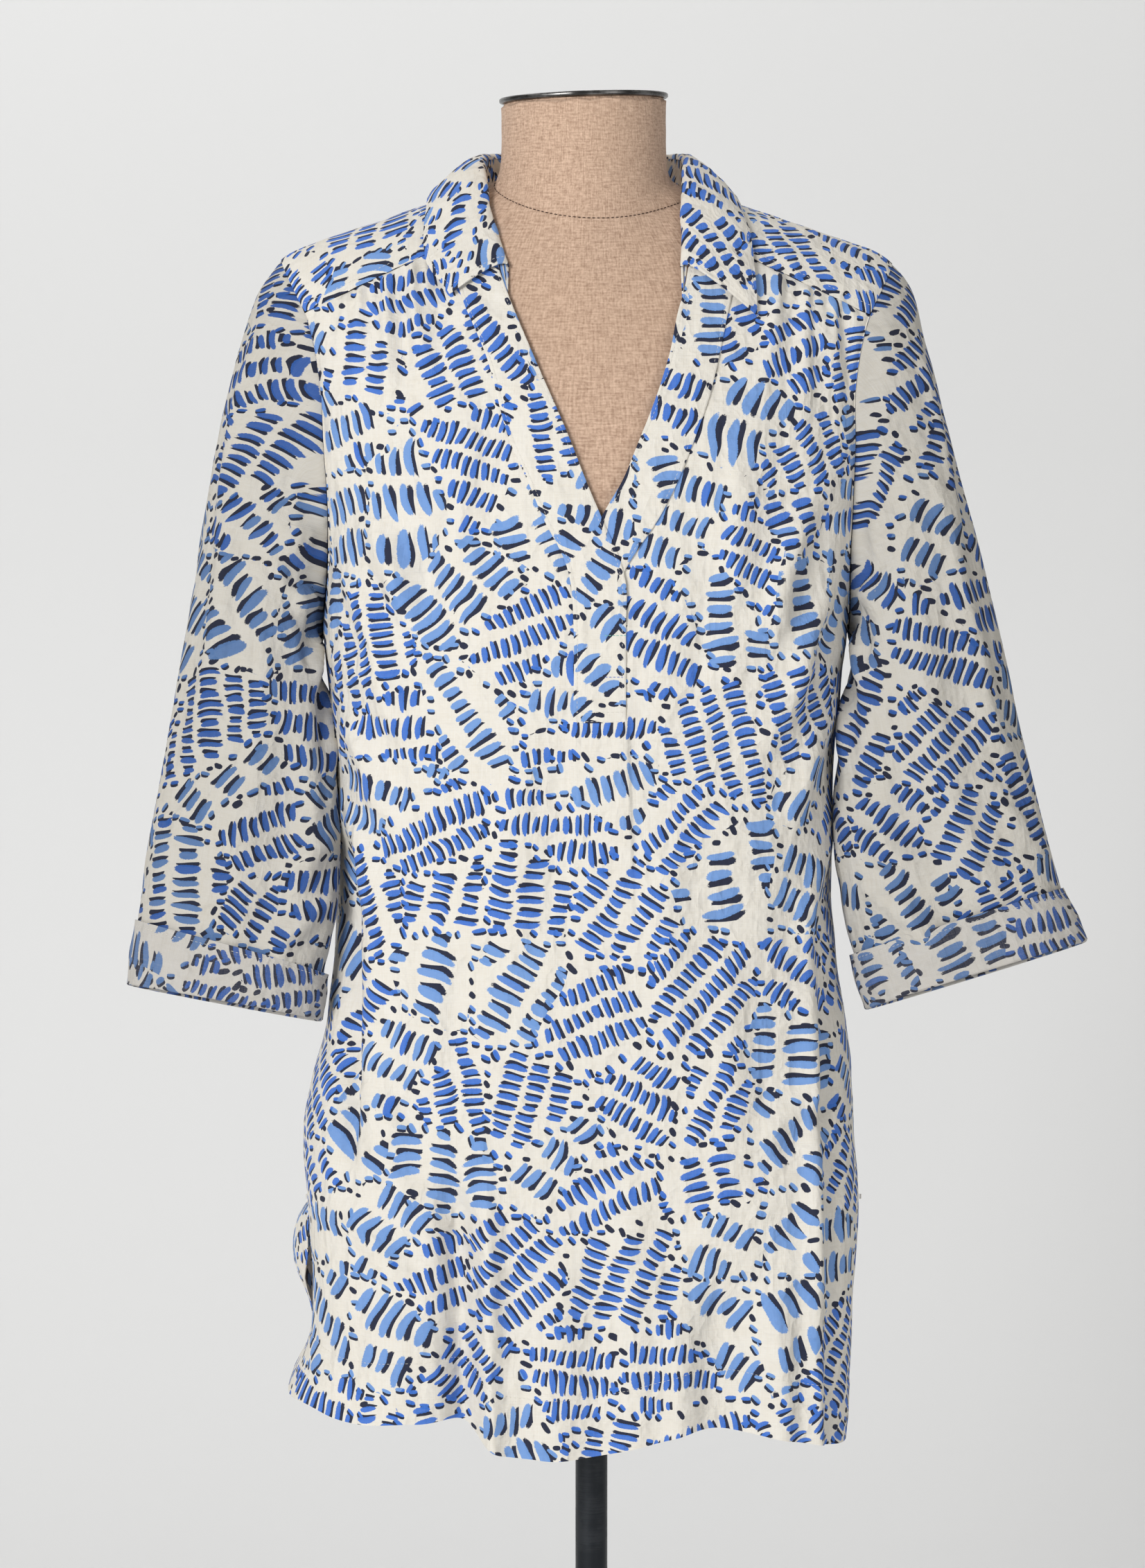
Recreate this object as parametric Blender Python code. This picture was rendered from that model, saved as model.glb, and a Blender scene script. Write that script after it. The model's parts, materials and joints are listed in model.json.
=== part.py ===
"""A women's tunic top on a limbless dress form, with its pole and base.

Metres, +Z up. The origin is the centre of the base on the floor, and the front faces -Y.
Sides are the wearer's: the right is at -X and the left at +X.
Every cloth piece is a wall between an outer grid of points and the same grid moved in by its thickness.
"""
import math

import bmesh
import bpy
import numpy as np

for leftover in list(bpy.data.objects):
    bpy.data.objects.remove(leftover, do_unlink=True)


def table(columns, rows):
    """A short table as one array for each named column."""
    return {name: np.array([row[i] for row in rows]) for i, name in enumerate(columns.split())}


# ---------------------------------------------------------------- driving dimensions
CLOTH = 0.0016                  # wall of a single panel
STRIP = 0.0012                  # wall of a band laid on a panel
COLLAR = 0.0015                 # wall of the collar's stand and fall
SEAM = 0.0004                   # gap between two pieces at a seam
JOIN = 0.00003                  # points closer than this are one point
LAID = 0.0005                   # gap under a piece that lies on another
RIGID_GAP = 0.0003              # gap between the parts of the dress form

# The body as horizontal sections: half widths at the wearer's right and left, depths to front and back.
BODY = table("z right left front back", (
    (0.555, 0.205, 0.178, 0.130, 0.124),
    (0.585, 0.200, 0.180, 0.130, 0.124),
    (0.610, 0.188, 0.181, 0.129, 0.125),
    (0.650, 0.184, 0.183, 0.128, 0.126),
    (0.706, 0.187, 0.187, 0.1275, 0.126),
    (0.755, 0.1905, 0.184, 0.127, 0.125),
    (0.790, 0.1850, 0.1825, 0.126, 0.124),
    (0.825, 0.1755, 0.1795, 0.1255, 0.123),
    (0.860, 0.1710, 0.1735, 0.125, 0.121),
    (0.900, 0.1685, 0.1695, 0.124, 0.119),
    (0.950, 0.1675, 0.1690, 0.1235, 0.118),
    (1.000, 0.1680, 0.1700, 0.123, 0.117),
    (1.050, 0.1710, 0.1740, 0.123, 0.1175),
    (1.092, 0.1745, 0.1780, 0.123, 0.118),
    (1.140, 0.1740, 0.1810, 0.123, 0.118),
    (1.180, 0.1770, 0.1860, 0.123, 0.118),
    (1.220, 0.1830, 0.1910, 0.123, 0.118),
    (1.260, 0.1890, 0.1950, 0.123, 0.118),
    (1.300, 0.2010, 0.2070, 0.123, 0.118),
    (1.350, 0.2310, 0.2370, 0.123, 0.118),
    (1.450, 0.2400, 0.2450, 0.123, 0.118),
))
SQUARENESS = 2.8                # exponent of the sections: 2 is an ellipse
HEM_SQUARENESS = 3.8            # the same at the hem, where the panels hang free
HEM_SQUARE_Z = (0.640, 0.840)   # heights between which the one becomes the other
UNDERARM_Z = 1.092
RIDGE_X = 0.195                 # a point of the shoulder line, its height there and its slope
RIDGE_Z = 1.351
RIDGE_SLOPE = 0.34
TIP_X = 0.185                   # past here the shoulder line turns down
TIP_ROUNDING = 7.0
ARMHOLE_DEPTH = 0.055           # half the armhole's depth from front to back

# Side slits: how far the back panel's edge stands out past the front's, below the bar tack.
SLIT_TOP_Z = 0.706
SLIT = table("z right left gap", (
    (0.560, -0.0240, -0.0040, 0.0060),
    (0.600, -0.0060, -0.0030, 0.0050),
    (0.630, 0.0060, -0.0020, 0.0040),
    (0.656, 0.0175, -0.0010, 0.0030),
    (0.686, 0.0130, 0.0000, 0.0012),
    (SLIT_TOP_Z, 0.0000, 0.0000, 0.0),
    (0.720, 0.0000, 0.0000, 0.0),
))

# Hem height across the front, and at the back.
HEM = table("x front back", (
    (-0.205, 0.5830, 0.574),
    (-0.185, 0.5840, 0.572),
    (-0.165, 0.5780, 0.570),
    (-0.110, 0.5780, 0.566),
    (-0.078, 0.5765, 0.570),
    (-0.062, 0.5620, 0.571),
    (-0.030, 0.5550, 0.568),
    (0.010, 0.5570, 0.565),
    (0.045, 0.5650, 0.568),
    (0.080, 0.5730, 0.572),
    (0.120, 0.5680, 0.569),
    (0.150, 0.5610, 0.566),
    (0.180, 0.5530, 0.572),
))

# The yoke seams start at these heights at the centre and end on the armhole at the seam angles.
FRONT_SEAM_Z = 1.395
BACK_SEAM_Z = 1.298

# The front panel's edge at the slashed neck, right and left, up to the yoke seam.
SLASH_X = 0.0115
SLASH_FOOT_Z = 1.165
SLASH = table("z right left", (
    (1.092, SLASH_X, SLASH_X),
    (1.160, SLASH_X, SLASH_X),
    (1.172, 0.0080, 0.0155),
    (1.203, -0.0045, 0.0305),
    (1.238, -0.0190, 0.0450),
    (1.272, -0.0338, 0.0575),
    (1.300, -0.0458, 0.0645),
    (1.3185, -0.0535, 0.0680),
    (1.335, -0.0590, 0.0700),
    (1.362, -0.0670, 0.0700),
))

# The neck bands laid on the front, from the foot of the placket up: outer and inner edges.
BAND_OVER = table("z outer inner", (
    (1.0390, -0.0070, 0.0272),
    (1.1070, -0.0070, 0.0272),
    (1.1300, -0.0085, 0.0272),
    (1.1420, -0.0112, 0.0246),
    (1.1745, -0.0270, 0.0110),
    (1.1970, -0.0364, 0.0015),
    (1.2200, -0.0470, -0.0074),
    (1.2800, -0.0643, -0.0334),
    (1.3165, -0.0798, -0.0487),
    (1.3215, -0.0815, -0.0560),
    (1.3480, -0.0880, -0.0648),
))
BAND_UNDER = table("z outer inner", (
    (1.1250, 0.0190, -0.0030),
    (1.1440, 0.0290, -0.0010),
    (1.1740, 0.0489, 0.0112),
    (1.1980, 0.0612, 0.0250),
    (1.2220, 0.0708, 0.0350),
    (1.2500, 0.0809, 0.0462),
    (1.2800, 0.0885, 0.0557),
    (1.3110, 0.0951, 0.0622),
    (1.3160, 0.0964, 0.0712),
    (1.3450, 0.1000, 0.0725),
))

# The neck seam in plan, from the centre back (0) to the front end of the stand (1).
NECK_SEAM = table("u right left y", (
    (0.00, 0.0000, 0.0000, 0.0580),
    (0.20, 0.0350, 0.0350, 0.0505),
    (0.40, 0.0600, 0.0610, 0.0300),
    (0.55, 0.0685, 0.0705, 0.0040),
    (0.70, 0.0705, 0.0730, -0.0240),
    (0.85, 0.0668, 0.0705, -0.0530),
    (1.00, 0.0495, 0.0650, -0.0830),
))
# The roll line, where the fall turns over the stand.
ROLL = table("u right left y z", (
    (0.00, 0.0000, 0.0000, 0.0650, 1.4140),
    (0.20, 0.0380, 0.0380, 0.0570, 1.4140),
    (0.40, 0.0615, 0.0620, 0.0350, 1.4125),
    (0.55, 0.0668, 0.0672, 0.0080, 1.4090),
    (0.70, 0.0660, 0.0668, -0.0220, 1.3960),
    (0.85, 0.0620, 0.0655, -0.0500, 1.3700),
    (1.00, 0.0500, 0.0648, -0.0745, 1.3365),
))
# The fall's outer edge in plan, with how far it stands off the panel under it.
FALL_EDGE = table("u right left y lift", (
    (0.00, 0.0000, 0.0000, 0.0690, 0.0150),
    (0.20, 0.0480, 0.0480, 0.0620, 0.0145),
    (0.40, 0.0880, 0.0870, 0.0400, 0.0100),
    (0.55, 0.1010, 0.0990, 0.0080, 0.0050),
    (0.70, 0.1040, 0.1060, -0.0290, 0.0046),
    (0.85, 0.1040, 0.1110, -0.0590, 0.0046),
    (1.00, 0.0874, 0.1130, -0.0765, 0.0050),
))

# How far the fall arches over the roll line, and how far it leaves outwards rather than up.
ROLL_RISE = table("u rise", ((0.0, 0.0150), (0.4, 0.0150), (0.7, 0.0120), (0.85, 0.0110), (1.0, 0.0105)))
ROLL_TURN = 0.8
COLLAR_COLUMNS = 33
STAND_ROWS = 3
FALL_ROWS = 7

# Sleeves as rings below the armhole: outer and inner points, half depth, and how far the middle lies back.
SLEEVE_RIGHT = table("outer_x outer_z inner_x inner_z depth middle_y lean tilt", (
    (0.2165, 1.3250, 0.1785, 1.0800, 0.0560, 0.000, 0.000, 0.0000),
    (0.2300, 1.2880, 0.1785, 1.0620, 0.0570, -0.002, 0.004, 0.0000),
    (0.2430, 1.2380, 0.1770, 1.0380, 0.0575, -0.005, 0.012, 0.0000),
    (0.2530, 1.1850, 0.1755, 1.0100, 0.0570, -0.010, 0.022, 0.0000),
    (0.2620, 1.1260, 0.1740, 0.9780, 0.0555, -0.016, 0.030, 0.0000),
    (0.2720, 1.0660, 0.1735, 0.9450, 0.0530, -0.023, 0.034, 0.0000),
    (0.2822, 1.0075, 0.1735, 0.9130, 0.0505, -0.030, 0.032, 0.0015),
    (0.2915, 0.9540, 0.1745, 0.8850, 0.0480, -0.037, 0.024, 0.0040),
    (0.2990, 0.9020, 0.1760, 0.8650, 0.0450, -0.042, 0.012, 0.0065),
    (0.3045, 0.8590, 0.1775, 0.8350, 0.0430, -0.047, 0.004, 0.0075),
))
SLEEVE_LEFT = table("outer_x outer_z inner_x inner_z depth middle_y lean tilt", (
    (0.2190, 1.3250, 0.1820, 1.0800, 0.0560, 0.000, 0.000, 0.0000),
    (0.2300, 1.2880, 0.1815, 1.0620, 0.0570, -0.002, 0.004, 0.0000),
    (0.2430, 1.2380, 0.1795, 1.0380, 0.0575, -0.005, 0.012, 0.0000),
    (0.2570, 1.1850, 0.1775, 1.0100, 0.0570, -0.010, 0.022, 0.0000),
    (0.2722, 1.1260, 0.1755, 0.9780, 0.0550, -0.016, 0.028, 0.0000),
    (0.2855, 1.0664, 0.1745, 0.9480, 0.0520, -0.023, 0.026, 0.0000),
    (0.2975, 1.0110, 0.1745, 0.9230, 0.0490, -0.030, 0.018, 0.0015),
    (0.3095, 0.9650, 0.1765, 0.9000, 0.0460, -0.037, 0.008, 0.0040),
    (0.3195, 0.9230, 0.1815, 0.8790, 0.0425, -0.042, 0.002, 0.0065),
    (0.3355, 0.8880, 0.1905, 0.8430, 0.0400, -0.047, 0.000, 0.0075),
))
SLEEVE_SQUARENESS = 2.2

# Folds on the front: a line from its upper to its lower end, its half width and its height.
FRONT_FOLDS = table("x_top z_top x_foot z_foot width height", (
    (-0.1580, 0.9700, -0.1570, 0.7100, 0.0090, -0.0090),    # deep corner fold, right
    (-0.1400, 0.9500, -0.1400, 0.7400, 0.0110, 0.0030),     # its rounded lip
    (0.1480, 0.9400, 0.1560, 0.5700, 0.0090, -0.0060),      # corner fold, left
    (-0.0900, 0.7700, -0.0800, 0.5500, 0.0140, -0.0120),    # set-back cloth beside the hem fold
    (-0.0600, 0.7600, -0.0560, 0.5500, 0.0120, 0.0050),     # the hem fold itself
    (0.0950, 0.7000, 0.0980, 0.5500, 0.0240, -0.0070),      # hem wave
    (-0.1250, 0.6700, -0.1300, 0.5500, 0.0200, 0.0040),     # hem wave
    (-0.1500, 1.0850, -0.1150, 1.0200, 0.0120, 0.0040),     # armpit fold, right
    (0.1530, 1.0900, 0.1200, 1.0100, 0.0120, 0.0040),       # armpit fold, left
    (-0.1650, 0.7300, -0.1200, 0.6600, 0.0100, 0.0035),     # hip crease
))
BACK_FOLDS = table("x_top z_top x_foot z_foot width height", (
    (-0.1450, 0.9600, -0.1500, 0.6600, 0.0120, -0.0060),
    (0.1400, 0.9300, 0.1480, 0.6000, 0.0120, -0.0060),
    (-0.0600, 0.8200, -0.0700, 0.5600, 0.0220, 0.0060),
    (0.0550, 0.7800, 0.0650, 0.5600, 0.0240, 0.0050),
    (0.1530, 1.0800, 0.1150, 1.0100, 0.0140, 0.0040),
    (-0.1530, 1.0800, -0.1150, 1.0100, 0.0140, 0.0040),
))
# Gathers under the yoke: where they begin and end across, how many, their reach and height.
FRONT_GATHERS = table("x_start x_end count reach height", (
    (-0.1070, -0.1580, 6, 0.085, 0.0017),
    (0.1300, 0.1690, 5, 0.085, 0.0017),
))
BACK_GATHERS = table("x_start x_end count reach height", (
    (-0.0450, -0.1450, 5, 0.090, 0.0018),
    (0.0450, 0.1450, 5, 0.090, 0.0018),
))

# The box pleat below the placket: a flap that widens and fades downwards.
FLAP_TOP_Z = 1.041
FLAP_FADE_Z = 0.860
FLAP_HEIGHT = 0.0026
FLAP = table("z right left", (
    (0.850, -0.0110, 0.0410),
    (0.920, -0.0095, 0.0330),
    (1.041, -0.0080, 0.0285),
))
FLAP_SIDE = 0.0040

# Grid columns of a half panel as shares of its width, from the slash or centre to the side.
FRONT_SHARES = (0.0, 0.085, 0.125, 0.22, 0.31, 0.35, 0.39, 0.43, 0.47, 0.51, 0.55, 0.59, 0.63, 0.67, 0.71,
                0.75, 0.80, 0.85, 0.90, 0.94, 0.975, 1.0)
BACK_SHARES = (0.0, 0.12, 0.24, 0.34, 0.42, 0.50, 0.58, 0.66, 0.74, 0.82, 0.89, 0.94, 0.98, 1.0)
SEAM_STEP = 3                   # the yoke takes every third front column
LOWER_ROWS = 13
FRONT_SEAM_ANGLE = 131.0        # armhole angles, from the underarm round the front, top and back
BACK_SEAM_ANGLE = 229.0
FRONT_ARM_STEPS = 12
YOKE_ARM_STEPS = 8
BACK_ARM_STEPS = 10
FRONT_ANGLES = np.linspace(0.0, FRONT_SEAM_ANGLE, FRONT_ARM_STEPS + 1)
YOKE_ANGLES = np.linspace(FRONT_SEAM_ANGLE, BACK_SEAM_ANGLE, YOKE_ARM_STEPS + 1)
BACK_ANGLES = np.linspace(360.0, BACK_SEAM_ANGLE, BACK_ARM_STEPS + 1)
SLEEVE_ANGLES = np.concatenate([FRONT_ANGLES[:-1], YOKE_ANGLES, BACK_ANGLES[::-1][1:-1]])
SLASH_ROW = 4                   # row above the underarm where the slash begins

# The dress form: half widths and depths of its torso below the bust, and its neck.
FORM = table("z width front back", (
    (0.680, 0.1660, 0.1000, 0.1120),
    (0.740, 0.1680, 0.1040, 0.1160),
    (0.800, 0.1580, 0.1000, 0.1080),
    (0.860, 0.1400, 0.0930, 0.0940),
    (0.920, 0.1250, 0.0890, 0.0850),
    (0.980, 0.1200, 0.0930, 0.0860),
    (1.040, 0.1300, 0.1080, 0.0980),
    (1.092, 0.1460, 0.1190, 0.1120),
    (1.150, 0.1600, 0.1195, 0.1140),
    (1.200, 0.1660, 0.1195, 0.1145),
    (1.260, 0.1700, 0.1195, 0.1145),
    (1.400, 0.1860, 0.1195, 0.1145),
))
FORM_COLUMNS = 32
FORM_HEIGHTS = (0.680, 0.740, 0.800, 0.860, 0.920, 0.980, 1.040, 1.092, 1.150, 1.205, 1.250, 1.285, 1.312,
                1.333, 1.350, 1.364, 1.375, 1.384, 1.390, 1.396, 1.408)
FORM_FOOT_Z = 0.680
FORM_ROUNDING = 2.3             # exponent of the form's sections
SHOULDER_DROP = 0.0026          # the form's shoulder line lies this far under the cloth's outside
NECK_RADIUS = 0.0550
NECK_MIDDLE_Y = -0.006
NECK_TOP_Z = 1.4485
NECK_FOOT_Z = 1.388
NECK_FLARE = 0.0045
NECK_FLARE_HEIGHT = 0.009
NECK_TILT = math.radians(2.0)   # the neck's top is lower at the wearer's right
CAP_RADIUS = 0.0565
CAP_HEIGHT = 0.0036
ASIDE = -0.0055                 # how far the tunic and the form stand aside of the pole, to the right
POLE_RADIUS = 0.0110
BASE_RADIUS = 0.170
BASE_EDGE = 0.007
BASE_MIDDLE = 0.011
BOSS_RADIUS = 0.021
BOSS_TOP_Z = 0.040

PRINTED_CLOTH = (0.70, 0.72, 0.80)
WRONG_SIDE = (0.76, 0.76, 0.80)
FORM_LINEN = (0.58, 0.42, 0.30)
CAP_STEEL = (0.30, 0.29, 0.28)
POLE_STEEL = (0.045, 0.052, 0.062)


# ---------------------------------------------------------------- curves
def smooth(rows, column, at):
    """A smooth curve through a table's rows: its named column at places along its first column."""
    x = next(iter(rows.values()))
    y = rows[column]
    slope = np.gradient(y, x)
    at = np.clip(at, x[0], x[-1])
    i = np.clip(np.searchsorted(x, at) - 1, 0, len(x) - 2)
    step = x[i + 1] - x[i]
    t = (at - x[i]) / step
    start = (1 + 2 * t) * (1 - t) ** 2 * y[i] + t * (1 - t) ** 2 * step * slope[i]
    end = t * t * (3 - 2 * t) * y[i + 1] - t * t * (1 - t) * step * slope[i + 1]
    return start + end


def straight(rows, column, at):
    """The same, with straight runs between the rows."""
    return np.interp(at, next(iter(rows.values())), rows[column])


def ease(value):
    """0 below 0, 1 above 1, and a soft step between."""
    t = np.clip(value, 0.0, 1.0)
    return t * t * (3 - 2 * t)


def unit(vectors):
    """Vectors along the last axis, brought to length 1."""
    return vectors / np.maximum(np.linalg.norm(vectors, axis=-1, keepdims=True), 1e-9)


def points(x, y, z):
    """Three coordinate arrays as one array of points."""
    return np.stack(np.broadcast_arrays(x, y, z), axis=-1).astype(float)


# ---------------------------------------------------------------- the tunic's surface
def half_width(x, z):
    """Half the body's width on the side where x lies."""
    return np.where(x < 0, smooth(BODY, "right", z), smooth(BODY, "left", z))


def ridge_z(x):
    """Height of the shoulder line."""
    past_tip = np.maximum(np.abs(x) - TIP_X, 0.0)
    return RIDGE_Z + RIDGE_SLOPE * (RIDGE_X - np.abs(x)) - TIP_ROUNDING * past_tip ** 2


def squareness(z):
    """The exponent of the section at a height."""
    low, high = HEM_SQUARE_Z
    return SQUARENESS + (HEM_SQUARENESS - SQUARENESS) * ease((high - z) / (high - low))


def fullness(x, z, width=None):
    """How full the section is at x: 1 at the centre and 0 at the side."""
    reach = half_width(x, z) if width is None else width
    share = np.clip(np.abs(x) / reach, 0.0, 1.0)
    power = squareness(z)
    return (1 - share ** power) ** (1 / power)


def arch(x, z):
    """How the depth closes from the underarm up to the shoulder line."""
    t = np.clip((z - UNDERARM_Z) / (ridge_z(x) - UNDERARM_Z), 0.0, 1.0)
    return np.sqrt(1 - t * t)


def depth(z, y_sign):
    """Depth of the body towards the front (-1) or the back (+1)."""
    return np.where(np.asarray(y_sign) < 0, smooth(BODY, "front", z), smooth(BODY, "back", z))


def surface_y(x, z, y_sign):
    return y_sign * depth(z, y_sign) * fullness(x, z) * arch(x, z)


def surface_z(x, y):
    """Height of the shoulder surface over a point in plan."""
    y_sign = np.where(np.asarray(y) < 0, -1.0, 1.0)
    z = ridge_z(x) - 0.02
    for _ in range(12):
        share = np.clip(np.abs(y) / (depth(z, y_sign) * fullness(x, z)), 0.0, 1.0)
        z = UNDERARM_Z + np.sqrt(1 - share ** 2) * (ridge_z(x) - UNDERARM_Z)
    return z


def surface_normal(p, width=None):
    """Outward direction of the body's surface at points p."""
    def inside(q):
        x, y, z = q[..., 0], q[..., 1], q[..., 2]
        y_sign = np.where(p[..., 1] < 0, -1.0, 1.0)
        reach = depth(z, y_sign) * fullness(x, z, width) * arch(x, z)
        return reach ** 2 - y ** 2
    step = 0.0004
    slopes = []
    for axis in range(3):
        move = np.zeros(3)
        move[axis] = step
        slopes.append(inside(p - move) - inside(p + move))
    return unit(np.stack(slopes, axis=-1))


def armhole(angle, side):
    """The armhole: angle 0 at the underarm, 90 at the front, 180 on the shoulder, 270 at the back."""
    half = np.radians(angle) / 2
    rise = np.sin(half)
    y = -ARMHOLE_DEPTH * np.sin(2 * half)
    x = side * 0.18 * np.ones_like(rise)
    for _ in range(12):
        z = UNDERARM_Z + rise ** 2 * (ridge_z(x) - UNDERARM_Z)
        cheek = 2 * ARMHOLE_DEPTH / depth(z, y) * rise / np.sqrt(1 + rise ** 2)
        x = side * half_width(x, z) * (1 - cheek ** SQUARENESS) ** (1 / SQUARENESS)
    return points(x, y, z)


def fold_relief(folds, x, z):
    """Height of the long soft folds at a point of a panel."""
    height = np.zeros(np.broadcast(x, z).shape)
    for k in range(len(folds["width"])):
        run = folds["z_top"][k] - folds["z_foot"][k]
        along = (folds["z_top"][k] - z) / run
        middle = folds["x_top"][k] + (folds["x_foot"][k] - folds["x_top"][k]) * along
        ends = ease(along / 0.3) * ease((1.0 - along) / 0.3 + (folds["z_foot"][k] < 0.6))
        height = height + folds["height"][k] * ends * np.exp(-((x - middle) / folds["width"][k]) ** 2)
    return height


def gather_relief(gathers, x, below_seam):
    """Height of the gathers, which run down from the yoke seam and fade."""
    height = np.zeros(np.broadcast(x, below_seam).shape)
    for k in range(len(gathers["count"])):
        along = (x - gathers["x_start"][k]) / (gathers["x_end"][k] - gathers["x_start"][k])
        wave = np.cos(2 * math.pi * gathers["count"][k] * along)
        across = ease(along / 0.08) * ease((1 - along) / 0.08)
        down = ease(below_seam / 0.012) * ease(1 - below_seam / gathers["reach"][k])
        height = height + gathers["height"][k] * wave * across * down
    return height


def flap_relief(x, z):
    """Height of the box pleat's flap."""
    inside = np.minimum(x - straight(FLAP, "right", z), straight(FLAP, "left", z) - x)
    fade = ease((z - FLAP_FADE_Z) / 0.12) * (z < FLAP_TOP_Z)
    return FLAP_HEIGHT * fade * ease(inside / FLAP_SIDE + 0.5)


def seam_z(x, centre_z, angle):
    """A yoke seam's height: straight in front view, from the centre to the armhole."""
    right, left = armhole(np.array(angle), -1), armhole(np.array(angle), 1)
    end_z = np.where(x < 0, right[2], left[2])
    end_x = np.where(x < 0, -right[0], left[0])
    return centre_z + (end_z - centre_z) * np.abs(x) / end_x


def front_seam_z(x):
    return seam_z(x, FRONT_SEAM_Z, FRONT_SEAM_ANGLE)


def back_seam_z(x):
    return seam_z(x, BACK_SEAM_Z, BACK_SEAM_ANGLE)


def front_relief(x, z):
    below = front_seam_z(x) - z
    return fold_relief(FRONT_FOLDS, x, z) + gather_relief(FRONT_GATHERS, x, below) + flap_relief(x, z)


def back_relief(x, z):
    return fold_relief(BACK_FOLDS, x, z) + gather_relief(BACK_GATHERS, x, back_seam_z(x) - z)


# ---------------------------------------------------------------- walls
def grid_normal(grid, closed):
    """Outward directions of a grid of points, from its neighbours."""
    if closed:
        across = np.roll(grid, -1, axis=1) - np.roll(grid, 1, axis=1)
    else:
        across = np.gradient(grid, axis=1)
    return unit(np.cross(across, np.gradient(grid, axis=0)))


def wall_faces(rows, columns, closed, offset):
    """Faces between the outer skin (first points), the inner skin (from offset on) and their rims."""
    span = columns if closed else columns - 1
    faces = []
    for r in range(rows - 1):
        for c in range(span):
            a, b = r * columns + c, r * columns + (c + 1) % columns
            d, e = a + columns, b + columns
            faces.append((a, b, e, d))
            faces.append((a + offset, d + offset, e + offset, b + offset))
    rims = [[r * columns + c for c in range(columns)] + ([r * columns] if closed else [])
            for r in (0, rows - 1)]
    if not closed:
        rims += [[r * columns + c for r in range(rows)] for c in (0, columns - 1)]
    for rim in rims:
        faces += [(a, b, b + offset, a + offset) for a, b in zip(rim, rim[1:])]
    return faces


def material(name, colour, roughness, metallic=0.0):
    """A plain Principled material."""
    made = bpy.data.materials.new(name)
    made.use_nodes = True
    shader = made.node_tree.nodes["Principled BSDF"]
    shader.inputs["Base Color"].default_value = (*colour, 1.0)
    shader.inputs["Roughness"].default_value = roughness
    shader.inputs["Metallic"].default_value = metallic
    return made


def solid(name, coordinates, faces, look):
    """One closed object, its faces pointing out, shaded smooth."""
    mesh = bpy.data.meshes.new(name)
    mesh.from_pydata([tuple(p) for p in coordinates], [], faces)
    work = bmesh.new()
    work.from_mesh(mesh)
    bmesh.ops.remove_doubles(work, verts=work.verts, dist=JOIN)
    return finished(name, mesh, work, look)


def finished(name, mesh, work, look):
    """The object of a closed mesh, with its faces turned out."""
    bmesh.ops.recalc_face_normals(work, faces=work.faces)
    if work.calc_volume(signed=True) < 0:
        bmesh.ops.reverse_faces(work, faces=work.faces)
    work.to_mesh(mesh)
    work.free()
    mesh.shade_smooth()
    mesh.set_sharp_from_angle(angle=math.radians(40))
    mesh.materials.append(look)
    made = bpy.data.objects.new(name, mesh)
    bpy.context.scene.collection.objects.link(made)
    return made


def wall(name, outer, inner, look, closed=False):
    """A cloth wall between two grids of points."""
    rows, columns = outer.shape[:2]
    coordinates = np.concatenate([outer.reshape(-1, 3), inner.reshape(-1, 3)])
    faces = wall_faces(rows, columns, closed, rows * columns)
    return solid(name, coordinates, faces, look)


def drawn_in(grid, sides, gap=SEAM / 2):
    """The grid with its named edges moved in along its own lines, which opens a seam's gap."""
    grid = grid.copy()
    edges = {"foot": (0, 1), "top": (-1, -2)}
    for side in sides:
        if side in edges:
            edge, near = edges[side]
            grid[edge] += unit(grid[near] - grid[edge]) * gap
        else:
            edge, near = (0, 1) if side == "start" else (-1, -2)
            grid[:, edge] += unit(grid[:, near] - grid[:, edge]) * gap
    return grid


def ring_normal(rings):
    """Outward directions of a tube of rings."""
    normal = grid_normal(rings, closed=True)
    return normal * np.sign(np.sum(normal * (rings - rings.mean(axis=1, keepdims=True))))


def armhole_normals(side):
    """Directions across the armhole seam for the panels and for the sleeve: one where the bend is mild."""
    rings = sleeve_rings(side, SLEEVE_ANGLES)
    sleeve_side = ring_normal(rings)[0]
    panel_side = surface_normal(rings[0])
    agree = np.clip((np.sum(sleeve_side * panel_side, axis=-1) + 0.2) / 0.6, 0.0, 1.0)[:, None]
    return unit(panel_side + sleeve_side * agree), unit(sleeve_side + panel_side * agree)


def at_angles(values, angles):
    """The values of some of the armhole's angles."""
    return values[[int(np.argmin(np.abs(SLEEVE_ANGLES - angle % 360.0))) for angle in angles]]


# ---------------------------------------------------------------- front and back
def lower_rows(centre, side, y_sign, shares):
    """Rows of a half panel from the hem to the underarm."""
    hem = "front" if y_sign < 0 else "back"
    shares = np.array(shares)
    rows = []
    for share_up in np.linspace(0.0, 1.0, LOWER_ROWS + 1)[:-1]:
        z = 0.57 + (UNDERARM_Z - 0.57) * share_up * np.ones_like(shares)
        for _ in range(3):
            x = centre + (edge_x(side, y_sign, z) - centre) * shares
            foot = smooth(HEM, hem, x)
            z = foot + (UNDERARM_Z - foot) * share_up
        y = y_sign * depth(z, y_sign) * fullness(x, z, np.abs(edge_x(side, y_sign, z)))
        y = y + y_sign * slit_gap(z) * shares ** 12
        rows.append(points(x, y, z))
    return rows


def edge_x(side, y_sign, z):
    """The side edge of the front or back panel, which part company below the slit's top."""
    name = "right" if side < 0 else "left"
    extra = smooth(SLIT, name, z) * (z < SLIT_TOP_Z) if y_sign > 0 else 0.0
    return side * (smooth(BODY, name, z) + extra)


def slit_gap(z):
    return smooth(SLIT, "gap", z) * (z < SLIT_TOP_Z)


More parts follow.
